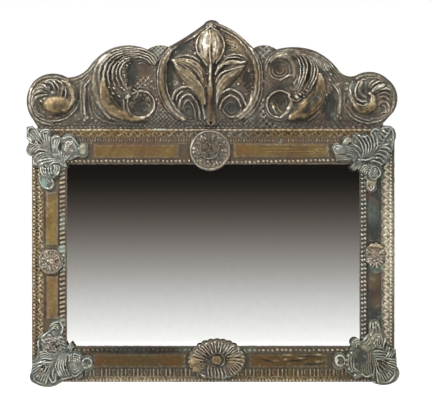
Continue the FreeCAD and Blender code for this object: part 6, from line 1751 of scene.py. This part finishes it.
def patina_and_light_group():
    """Aged tin: dark in the hollows with grime and painted shade, bright on the ridges with rubbed wear and
    painted highlights, gilt, reddish and green in places.
    """
    group = bpy.data.node_groups.new("old tin patina and painted light", "ShaderNodeTree")
    for way, kind, names in (("INPUT", "Vector", ("Place",)),
                             ("INPUT", "Float", ("Proud_and_painted_light", "Gilt", "Green", "Red")),
                             ("INPUT", "Color", ("Tin", "Stain", "Gold", "Rubbed_and_highlight_colour", "Grime_and_shade_colour")),
                             ("OUTPUT", "Color", ("Color",)), ("OUTPUT", "Float", ("Roughness", "Metallic")),
                             ("OUTPUT", "Vector", ("Normal",))):
        for name in names:
            group.interface.new_socket(name, in_out=way, socket_type="NodeSocket" + kind)
    given = node(group, "NodeGroupInput").outputs
    place = given["Place"]
    cloud = noise(group, place, 22.0, 4.0)
    spots = noise(group, place, 70.0, 5.0, 0.65)
    patches = noise(group, place, 130.0, 4.0, 0.6)
    grain = noise(group, place, 420.0, 3.0, 0.6)
    stained = mixed(group, ranged(group, spots, 0.38, 0.62), given["Tin"], given["Stain"])
    gilt_share = figured(group, "MULTIPLY", given["Gilt"], ranged(group, cloud, 0.3, 0.6, 0.6, 1.0))
    gilt_share = figured(group, "MULTIPLY", gilt_share, ranged(group, patches, 0.25, 0.55, 0.55, 1.0))
    gilded = mixed(group, gilt_share, stained, given["Gold"])
    browned = figured(group, "MULTIPLY", ranged(group, cloud, 0.46, 0.34),
                      ranged(group, patches, 0.3, 0.6, 0.2, 0.7))
    reddish = figured(group, "MULTIPLY", given["Red"], ranged(group, spots, 0.3, 0.6, 0.3, 0.8))
    reddened = mixed(group, figured(group, "MAXIMUM", reddish, figured(group, "MULTIPLY", browned, 0.5)),
                     gilded, red_brown)
    # Rubbed wear on the ridges, together with the painted highlights that the proud field carries.
    raised = figured(group, "MULTIPLY", ranged(group, given["Proud_and_painted_light"], 0.15, 2.2),
                     ranged(group, patches, 0.34, 0.6, 0.05, 1.0))
    raised = figured(group, "MULTIPLY", raised, ranged(group, cloud, 0.3, 0.55, 0.6, 1.0))
    # Painted highlights: the points that stand most proud are made fully bright.
    raised = figured(group, "MAXIMUM", raised, ranged(group, given["Proud_and_painted_light"], 1.7, 3.2))
    raised = figured(group, "MULTIPLY", raised, ranged(group, grain, 0.3, 0.6, 0.6, 0.95))
    rubbed_and_highlit = mixed(group, raised, reddened, given["Rubbed_and_highlight_colour"])
    # Grime in the hollows, together with painted shade where the surface lies below its neighbours.
    grime_and_shade_mask = ranged(group, given["Proud_and_painted_light"], -0.1, -1.9)
    grime_and_shade_mask = figured(group, "MULTIPLY", grime_and_shade_mask, ranged(group, spots, 0.2, 0.5, 0.7, 0.95))
    dirt_and_shade_colour = mixed(group, ranged(group, cloud, 0.46, 0.6, 0.0, 0.5), given["Grime_and_shade_colour"], green_grey_dirt_and_shade)
    grimed_and_shaded = mixed(group, grime_and_shade_mask, rubbed_and_highlit, dirt_and_shade_colour)
    bloom = figured(group, "MULTIPLY", given["Green"], ranged(group, spots, 0.32, 0.55, 0.25, 1.0))
    flecks = figured(group, "MULTIPLY", ranged(group, cloud, 0.56, 0.66),
                     ranged(group, spots, 0.56, 0.66, 0.0, 0.45))
    green = figured(group, "MAXIMUM", bloom, flecks)
    weathered = mixed(group, green, grimed_and_shaded, pale_verdigris)
    pitted = mixed(group, ranged(group, grain, 0.56, 0.74, 0.0, 0.5), weathered, given["Grime_and_shade_colour"])
    roughness = ranged(group, given["Proud_and_painted_light"], -1.0, 2.2, 0.6, 0.36)
    roughness = figured(group, "ADD", roughness, ranged(group, spots, 0.3, 0.7, -0.05, 0.12))
    roughness = figured(group, "MAXIMUM", roughness, ranged(group, green, 0.0, 1.0, 0.2, 0.85))
    dull = figured(group, "MAXIMUM", green, figured(group, "MULTIPLY", grime_and_shade_mask, 0.45))
    shine = ranged(group, given["Gilt"], 0.2, 0.8, 0.75, 1.0)
    metallic = figured(group, "MULTIPLY", shine, ranged(group, dull, 0.0, 1.0, 1.0, 0.13))
    relief = figured(group, "ADD", figured(group, "MULTIPLY", spots, 0.6),
                     figured(group, "MULTIPLY", grain, 0.4))
    node(group, "NodeGroupOutput", [("Color", pitted), ("Roughness", roughness), ("Metallic", metallic),
                                    ("Normal", bumped(group, relief, 0.5, 0.5 * mm))])
    return group


def tin_material(name, *colours):
    """Old tin with its own five colours: tin, stain, gold, rubbed, also used for painted highlights, and
    grime, also used for painted shade.
    """
    material, tree, shader, place = new_material(name)
    patina = node(tree, "ShaderNodeGroup", node_tree=patina_and_light_tree)
    tree.links.new(place, patina.inputs["Place"])
    for field in ("Proud_and_painted_light", "Gilt", "Green", "Red"):
        read = node(tree, "ShaderNodeAttribute", attribute_type="GEOMETRY", attribute_name=field.lower())
        tree.links.new(read.outputs["Fac"], patina.inputs[field])
    for key, colour in zip(("Tin", "Stain", "Gold", "Rubbed_and_highlight_colour", "Grime_and_shade_colour"), colours):
        patina.inputs[key].default_value = (*colour, 1)
    finish_shader(tree, shader, Base_Color=patina.outputs["Color"], Roughness=patina.outputs["Roughness"],
                  Metallic=patina.outputs["Metallic"], Normal=patina.outputs["Normal"])
    return material


def wood_material(name, light, dark, along):
    """Plain softwood with grain along one axis."""
    material, tree, shader, place = new_material(name)
    scale = {"x": (6.0, 90.0, 90.0), "z": (90.0, 90.0, 6.0)}[along]
    grain = noise(tree, stretched(tree, place, *scale), 1.0, 5.0, 0.6)
    cloud = noise(tree, place, 9.0, 3.0)
    colour = mixed(tree, ranged(tree, grain, 0.35, 0.65), light, dark)
    colour = mixed(tree, ranged(tree, cloud, 0.45, 0.7, 0.0, 0.5), colour, (0.09, 0.05, 0.025, 1))
    finish_shader(tree, shader, Base_Color=colour, Roughness=ranged(tree, grain, 0.3, 0.7, 0.62, 0.8),
                  Normal=bumped(tree, grain, 0.35, 0.4 * mm))
    return material


def board_material():
    """Grey-brown card with fibres."""
    material, tree, shader, place = new_material("back board card")
    fibre = noise(tree, stretched(tree, place, 400.0, 60.0, 120.0), 1.0, 4.0, 0.7)
    cloud = noise(tree, place, 7.0, 4.0)
    colour = mixed(tree, ranged(tree, fibre, 0.35, 0.7), (0.30, 0.21, 0.125, 1), (0.21, 0.14, 0.08, 1))
    colour = mixed(tree, ranged(tree, cloud, 0.5, 0.7, 0.0, 0.55), colour, (0.15, 0.10, 0.06, 1))
    finish_shader(tree, shader, Base_Color=colour, Roughness=0.9, Normal=bumped(tree, fibre, 0.3, 0.2 * mm))
    return material


def glass_material():
    """Silvered glass, a little foxed in cloudy patches."""
    material, tree, shader, place = new_material("silvered glass")
    haze = noise(tree, place, 60.0, 4.0)
    finish_shader(tree, shader, Base_Color=mixed(tree, ranged(tree, haze, 0.3, 0.8), (0.95, 0.95, 0.94, 1),
                                                 (0.90, 0.905, 0.90, 1)),
                  Metallic=1.0, Roughness=0.015)
    return material


def metal_material(name, colour, worn, roughness):
    """Plain metal of fasteners, with dull spots."""
    material, tree, shader, place = new_material(name)
    spots = noise(tree, place, 500.0, 4.0)
    finish_shader(tree, shader, Base_Color=mixed(tree, ranged(tree, spots, 0.4, 0.65), colour, worn),
                  Roughness=ranged(tree, spots, 0.35, 0.7, roughness, roughness + 0.25), Metallic=1.0,
                  Normal=bumped(tree, spots, 0.25, 0.1 * mm))
    return material


def rubber_material():
    """Black rubber of the wall pads."""
    material, tree, shader, place = new_material("pad rubber")
    grain = noise(tree, place, 900.0, 3.0)
    colour = mixed(tree, grain, (0.022, 0.022, 0.023, 1), (0.05, 0.05, 0.05, 1))
    finish_shader(tree, shader, Base_Color=colour, Roughness=0.8, Normal=bumped(tree, grain, 0.3, 0.2 * mm))
    return material


# Colours of each tin: the tin, its stain, its gold, its rubbed colour, also used for painted highlights, and
# its grime, also used for painted shade
patina_and_light_tree = patina_and_light_group()
crest_tin_finish = tin_material("crest tin",
    (0.135, 0.109, 0.075), (0.082, 0.074, 0.059), (0.25, 0.175, 0.085),
    (0.64, 0.59, 0.49), (0.018, 0.015, 0.011))
ground_tin_finish = tin_material("crest ground tin",
    (0.10, 0.084, 0.062), (0.068, 0.062, 0.052), (0.2, 0.13, 0.06),
    (0.44, 0.4, 0.33), (0.016, 0.014, 0.012))
leaf_finish = tin_material("corner leaf tin",
    (0.17, 0.163, 0.13), (0.115, 0.128, 0.114), (0.3, 0.25, 0.14),
    (0.66, 0.68, 0.6), (0.02, 0.021, 0.017))
rosette_finish = tin_material("rosette tin",
    (0.17, 0.135, 0.095), (0.115, 0.105, 0.085), (0.38, 0.26, 0.11),
    (0.6, 0.56, 0.46), (0.015, 0.013, 0.01))
top_rail_finish = tin_material("top rail tin",
    (0.115, 0.084, 0.05), (0.08, 0.067, 0.05), (0.2, 0.131, 0.044),
    (0.5, 0.43, 0.32), (0.02, 0.013, 0.008))
bottom_rail_finish = tin_material("bottom rail tin",
    (0.086, 0.066, 0.04), (0.062, 0.056, 0.042), (0.094, 0.058, 0.016),
    (0.5, 0.43, 0.3), (0.013, 0.01, 0.006))
left_rail_finish = tin_material("left rail tin",
    (0.13, 0.09, 0.05), (0.09, 0.072, 0.05), (0.27, 0.185, 0.062),
    (0.52, 0.46, 0.35), (0.022, 0.014, 0.008))
right_rail_finish = tin_material("right rail tin",
    (0.05, 0.05, 0.04), (0.037, 0.041, 0.039), (0.24, 0.18, 0.09),
    (0.58, 0.53, 0.41), (0.014, 0.014, 0.011))


# Sheets

# How much of its height a stroke keeps and how deep its foot is sunk, in millimetres
stroke_share = 0.5
stroke_sink = 0.9

# Steps between grid points, in pixels
ornament_grain = 0.45
ground_grain = 0.6
rosette_grain = 0.4
rail_grain = 0.55

# How far a sheet's back lies below its front, in millimetres. The flat back goes down to the rim everywhere.
flat_back = 99
leaf_back_depth = 1.0


def ornament(name, outline_px, nails_px, raise_work, place, pixel, seat, rim_height, back_depth, edge, seed,
             finish, grain=ornament_grain):
    """One embossed ornament, from its outline to its finished mesh."""
    plate = Plate(outline_loop(outline_px), grain, stroke_share, stroke_sink)
    raise_work(plate)
    plate.echoed(2.6, 0.8, seed + 5)
    plate.finished(nails_px, pixel, edge, seed)
    tin_sheet(name + "_embossed", plate, on_face(place, seat), rim_height, back_depth, [name],
              finish)


crest_front = crest_seat - seat_gap - crest_tin
crest_edge = 2.6 * mm
for name, outline_px, nails_px, raise_work, seed in (
        ("crest_left_wing", left_wing_outline_px, left_wing_nails_px, raise_left_wing, 101),
        ("crest_right_wing", right_wing_outline_px, right_wing_nails_px, raise_right_wing, 103),
        ("crest_centre_panel", crest_centre_outline_px, crest_centre_nails_px, raise_crest_centre, 107)):
    ornament(name, outline_px, nails_px, raise_work, crest_place, crest_pixel, crest_front, -crest_tin / mm,
             flat_back, crest_edge, seed, crest_tin_finish)


def raise_ground(p):
    """Ground of the crest: a lattice of slanting lines where it shows, flat under the crest's sheets."""
    p.lattice(28, 257, 18, 131, 4.4, 2.8, half=0.24)
    p.lattice(257, 394, 18, 131, 6.2, 3.2, half=0.19)
    x, y = np.meshgrid(p.x, p.y)
    covered = np.zeros(p.height.shape, dtype=bool)
    for outline_px in (left_wing_outline_px, right_wing_outline_px, crest_centre_outline_px):
        covered |= inside(outline_loop(outline_px), x, y)
    p.height *= np.clip(spread(covered, 3) / 2 - 0.2, 0, 1)
    p.worn[:] = 0.15
    # Painted shade along the foot of the ground under the crest's sheets, and painted highlights on the two
    # humps at the top.
    p.rub_or_paint_light(211, 125, 200, 9, -0.8)
    p.rub_or_paint_light(160, 51, 9, 6, 1.2)
    p.rub_or_paint_light(266, 51, 9, 6, 0.8)
    p.tint(p.green, 160, 52, 10, 8, 0.12)
    p.tint(p.green, 266, 52, 10, 8, 0.1)


ornament("crest_ground_sheet", crest_ground_outline_px, [], raise_ground, crest_place, crest_pixel,
         crest_seat, -crest_tin / mm, flat_back, 0, 109, ground_tin_finish, ground_grain)

leaf_rim = -(rail_relief + seat_gap) / mm
leaf_front = ornament_seat - tin
leaf_edge = 2.2 * mm
for corner, outline_px, nails_px, raise_work, place, seed in (
        ("top_left", top_left_outline_px, top_left_nails_px, raise_top_left, top_left_place, 113),
        ("top_right", top_right_outline_px, top_right_nails_px, raise_top_right, top_right_place, 127),
        ("bottom_left", bottom_left_outline_px, bottom_left_nails_px, raise_bottom_left,
         bottom_left_place, 131),
        ("bottom_right", bottom_right_outline_px, bottom_right_nails_px, raise_bottom_right,
         bottom_right_place, 137)):
    ornament("corner_leaf_" + corner, outline_px, nails_px, raise_work, place, leaf_pixel, leaf_front,
             leaf_rim, leaf_back_depth, leaf_edge, seed, leaf_finish)

top_chart = chart((middle_px[0], top_edge_px), (0, half_height), leaf_pixel)
bottom_chart = chart((middle_px[0], bottom_edge_px), (0, -half_height), leaf_pixel)
left_chart = chart((left_edge_px, middle_px[1]), (-half_width, 0), leaf_pixel)
right_chart = chart((right_edge_px, middle_px[1]), (half_width, 0), leaf_pixel)


rosette_edge = 1.8 * mm
for name, centre, radii, scallops, nail_reach, raise_work, place, seed in (
        ("top_medallion", medallion_px, medallion_radii_px, (), 0.59 * medallion_radii_px[0],
         raise_medallion, top_chart, 139),
        ("bottom_rosette", bottom_rosette_px, bottom_rosette_radii_px, (26, 0.05, 260),
         0.36 * bottom_rosette_radii_px[0], raise_bottom_rosette, bottom_chart, 149),
        ("left_rosette", left_rosette_px, left_rosette_radii_px, (8, 0.1), 0.46 * left_rosette_radii_px[1],
         raise_left_rosette, left_chart, 151),
        ("right_rosette", right_rosette_px, right_rosette_radii_px, (11, 0.1),
         0.46 * right_rosette_radii_px[1], raise_right_rosette, right_chart, 157)):
    plate = Plate(oval_loop(*centre, *radii, *scallops), rosette_grain, stroke_share, stroke_sink)
    raise_work(plate)
    plate.echoed(2.4, 0.5, seed + 5)
    nails_px = [(centre[0] - nail_reach, centre[1]), (centre[0] + nail_reach, centre[1])]
    plate.finished(nails_px, leaf_pixel, rosette_edge, seed)
    tin_sheet(name + "_embossed", plate, on_face(place, leaf_front), leaf_rim, leaf_back_depth, [name],
              rosette_finish)

for side, raise_work, finish, seed, contrast in (("top", raise_top_rail, top_rail_finish, 163, 2.1),
                                                 ("bottom", raise_bottom_rail, bottom_rail_finish, 167, 1.8),
                                                 ("left", raise_left_rail, left_rail_finish, 173, 2.3),
                                                 ("right", raise_right_rail, right_rail_finish, 179, 1.5)):
    plate = Plate(rail_loop(side), rail_grain)
    raise_work(plate)
    plate.finished([], rail_pixel, 0, seed, sway=0.5, contrast=contrast)
    tin_sheet(side + "_rail_embossed", plate, rail_space(side), -tin / mm, flat_back, [side + "_rail_sheet"],
              finish)

# Finishes of the pieces that the solids show

pine_light = (0.34, 0.21, 0.105, 1)
pine_dark = (0.22, 0.13, 0.06, 1)
finishes = {
    ("frame_top_rail", "frame_bottom_rail"): wood_material("rail pine", pine_light, pine_dark, "x"),
    ("frame_left_stile", "frame_right_stile", "crest_batten_left", "crest_batten_right"):
        wood_material("stile pine", pine_light, pine_dark, "z"),
    ("crest_board",): wood_material("crest board wood", (0.28, 0.17, 0.085, 1), (0.17, 0.10, 0.05, 1), "x"),
    ("back_board",): board_material(),
    ("mirror_glass",): glass_material(),
    ("crest_nails", "rail_sheet_nails"):
        metal_material("old brass", (0.2, 0.155, 0.09, 1), (0.08, 0.062, 0.045, 1), 0.4),
    ("corner_leaf_nails", "rosette_nails"):
        metal_material("worn nail brass", (0.42, 0.38, 0.3, 1), (0.2, 0.18, 0.14, 1), 0.4),
    ("lap_screws", "batten_screws", "back_board_screws", "hanger_screws"):
        metal_material("screw steel", (0.46, 0.44, 0.40, 1), (0.2, 0.18, 0.15, 1), 0.35),
    ("hanger_strap_left", "hanger_strap_right"):
        metal_material("hanger zinc", (0.56, 0.55, 0.52, 1), (0.34, 0.33, 0.3, 1), 0.35),
    ("hanger_ring_left", "hanger_ring_right"):
        metal_material("ring zinc", (0.6, 0.59, 0.56, 1), (0.36, 0.35, 0.32, 1), 0.3),
    ("wall_pads",): rubber_material()}
for names, finish in finishes.items():
    for name in names:
        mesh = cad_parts[name].data
        mesh.materials.clear()
        mesh.materials.append(finish)


# Surroundings

scene = bpy.context.scene
scene.view_settings.view_transform = "Standard"


def seen_directly(tree):
    """1 for what the camera, a reflection or a look through glass shows, 0 for light on the object."""
    path = node(tree, "ShaderNodeLightPath").outputs
    seen = figured(tree, "MAXIMUM", path["Is Camera Ray"], path["Is Glossy Ray"])
    return figured(tree, "MAXIMUM", seen, path["Is Transmission Ray"])


world = bpy.data.worlds.new("studio")
world.use_nodes = True
tree = world.node_tree
tree.nodes.clear()
room_grey = (0.34, 0.34, 0.34, 1)
white = (1, 1, 1, 1)
sky = node(tree, "ShaderNodeBackground", [("Color", mixed(tree, seen_directly(tree), room_grey, white)),
                                          ("Strength", 1.0)])
node(tree, "ShaderNodeOutputWorld", [("Surface", sky.outputs[0])])
scene.world = world


def flat_stage(name, corners, material):
    """Flat sheet of the studio."""
    mesh = bpy.data.meshes.new(name)
    mesh.from_pydata(corners, [], [(0, 1, 2, 3)])
    mesh.materials.append(material)
    piece = bpy.data.objects.new(name, mesh)
    scene.collection.objects.link(piece)
    return piece


floor_level = -0.52
floor_reach = 9.0
floor_glow = 0.75


def floor_material():
    """Pale floor that the camera sees as white, with the object's shadow on it."""
    material, tree = empty_material("floor")
    matt = node(tree, "ShaderNodeBsdfDiffuse", [("Color", (0.8, 0.8, 0.8, 1))])
    strength = figured(tree, "MULTIPLY", seen_directly(tree), floor_glow)
    glow = node(tree, "ShaderNodeEmission", [("Color", white), ("Strength", strength)])
    both = node(tree, "ShaderNodeAddShader", [(0, matt.outputs[0]), (1, glow.outputs[0])])
    node(tree, "ShaderNodeOutputMaterial", [("Surface", both.outputs[0])])
    return material


flat_stage("floor", [(-floor_reach, -floor_reach, floor_level), (floor_reach, -floor_reach, floor_level),
                     (floor_reach, floor_reach, floor_level), (-floor_reach, floor_reach, floor_level)],
           floor_material())

# Card before the mirror, and the levels between which it turns from dark to white
card_y = -3.45
card_reach = 1.5
card_top = 1.2
card_dark = 0.262
card_white = -0.515
card_fade_aside = (0.75, 1.5)
card_fade_above = (0.5, 1.15)
warm_dark = (0.89, 0.76, 0.66, 1)
cool_light = (1.03, 1.03, 1.01, 1)


def card_material():
    """Card that the mirror reflects: dark above, running to white below and to its sides."""
    material, tree = empty_material("card")
    place = node(tree, "ShaderNodeNewGeometry").outputs["Position"]
    parts = node(tree, "ShaderNodeSeparateXYZ", [(0, place)]).outputs
    down = ranged(tree, parts["Z"], card_dark, card_white)
    level = figured(tree, "ADD", figured(tree, "MULTIPLY", figured(tree, "POWER", down, 1.8), 0.96), 0.013)
    aside = ranged(tree, figured(tree, "ABSOLUTE", parts["X"]), *card_fade_aside)
    above = ranged(tree, parts["Z"], *card_fade_above)
    faded = figured(tree, "MAXIMUM", aside, above)
    kept = figured(tree, "MULTIPLY", level, figured(tree, "SUBTRACT", 1.0, faded))
    level = figured(tree, "ADD", kept, faded)
    hue = mixed(tree, ranged(tree, down, 0.22, 0.75), warm_dark, cool_light)
    glow = node(tree, "ShaderNodeEmission", [("Color", hue), ("Strength", level)])
    node(tree, "ShaderNodeOutputMaterial", [("Surface", glow.outputs[0])])
    return material


card = flat_stage("card", [(-card_reach, card_y, floor_level), (-card_reach, card_y, card_top),
                           (card_reach, card_y, card_top), (card_reach, card_y, floor_level)],
                  card_material())
card.visible_camera = False
card.visible_diffuse = False
card.visible_shadow = False


lamp_target = Vector((0, 0, 0.1))


def lamp(name, place, size, watts):
    """Soft box that looks at the middle of the mirror."""
    light = bpy.data.lights.new(name, "AREA")
    light.shape = "SQUARE"
    light.size = size
    light.energy = watts
    piece = bpy.data.objects.new(name, light)
    piece.location = place
    piece.rotation_euler = (lamp_target - Vector(place)).to_track_quat("-Z", "Y").to_euler()
    scene.collection.objects.link(piece)


lamp("left box", (-2.1, -1.7, 1.7), 0.9, 60)
lamp("right box", (2.4, -1.8, 0.7), 1.2, 14)
lamp("top box", (0.0, -1.0, 2.4), 0.9, 30)

# Camera: square on to the face, its frame as wide as the photograph
photo_width_px = 432
photo_height_px = 406
camera_distance = 3.2
frame_width = photo_width_px * rail_pixel
view_middle = ((photo_width_px / 2 - middle_px[0]) * rail_pixel,
               (middle_px[1] - photo_height_px / 2) * rail_pixel)
camera_data = bpy.data.cameras.new("camera")
camera_data.sensor_width = 36.0
camera_data.lens = camera_data.sensor_width * camera_distance / frame_width
camera = bpy.data.objects.new("camera", camera_data)
camera.location = (view_middle[0], wood_front - camera_distance, view_middle[1])
camera.rotation_euler = (math.pi / 2, 0, 0)
scene.collection.objects.link(camera)
scene.camera = camera
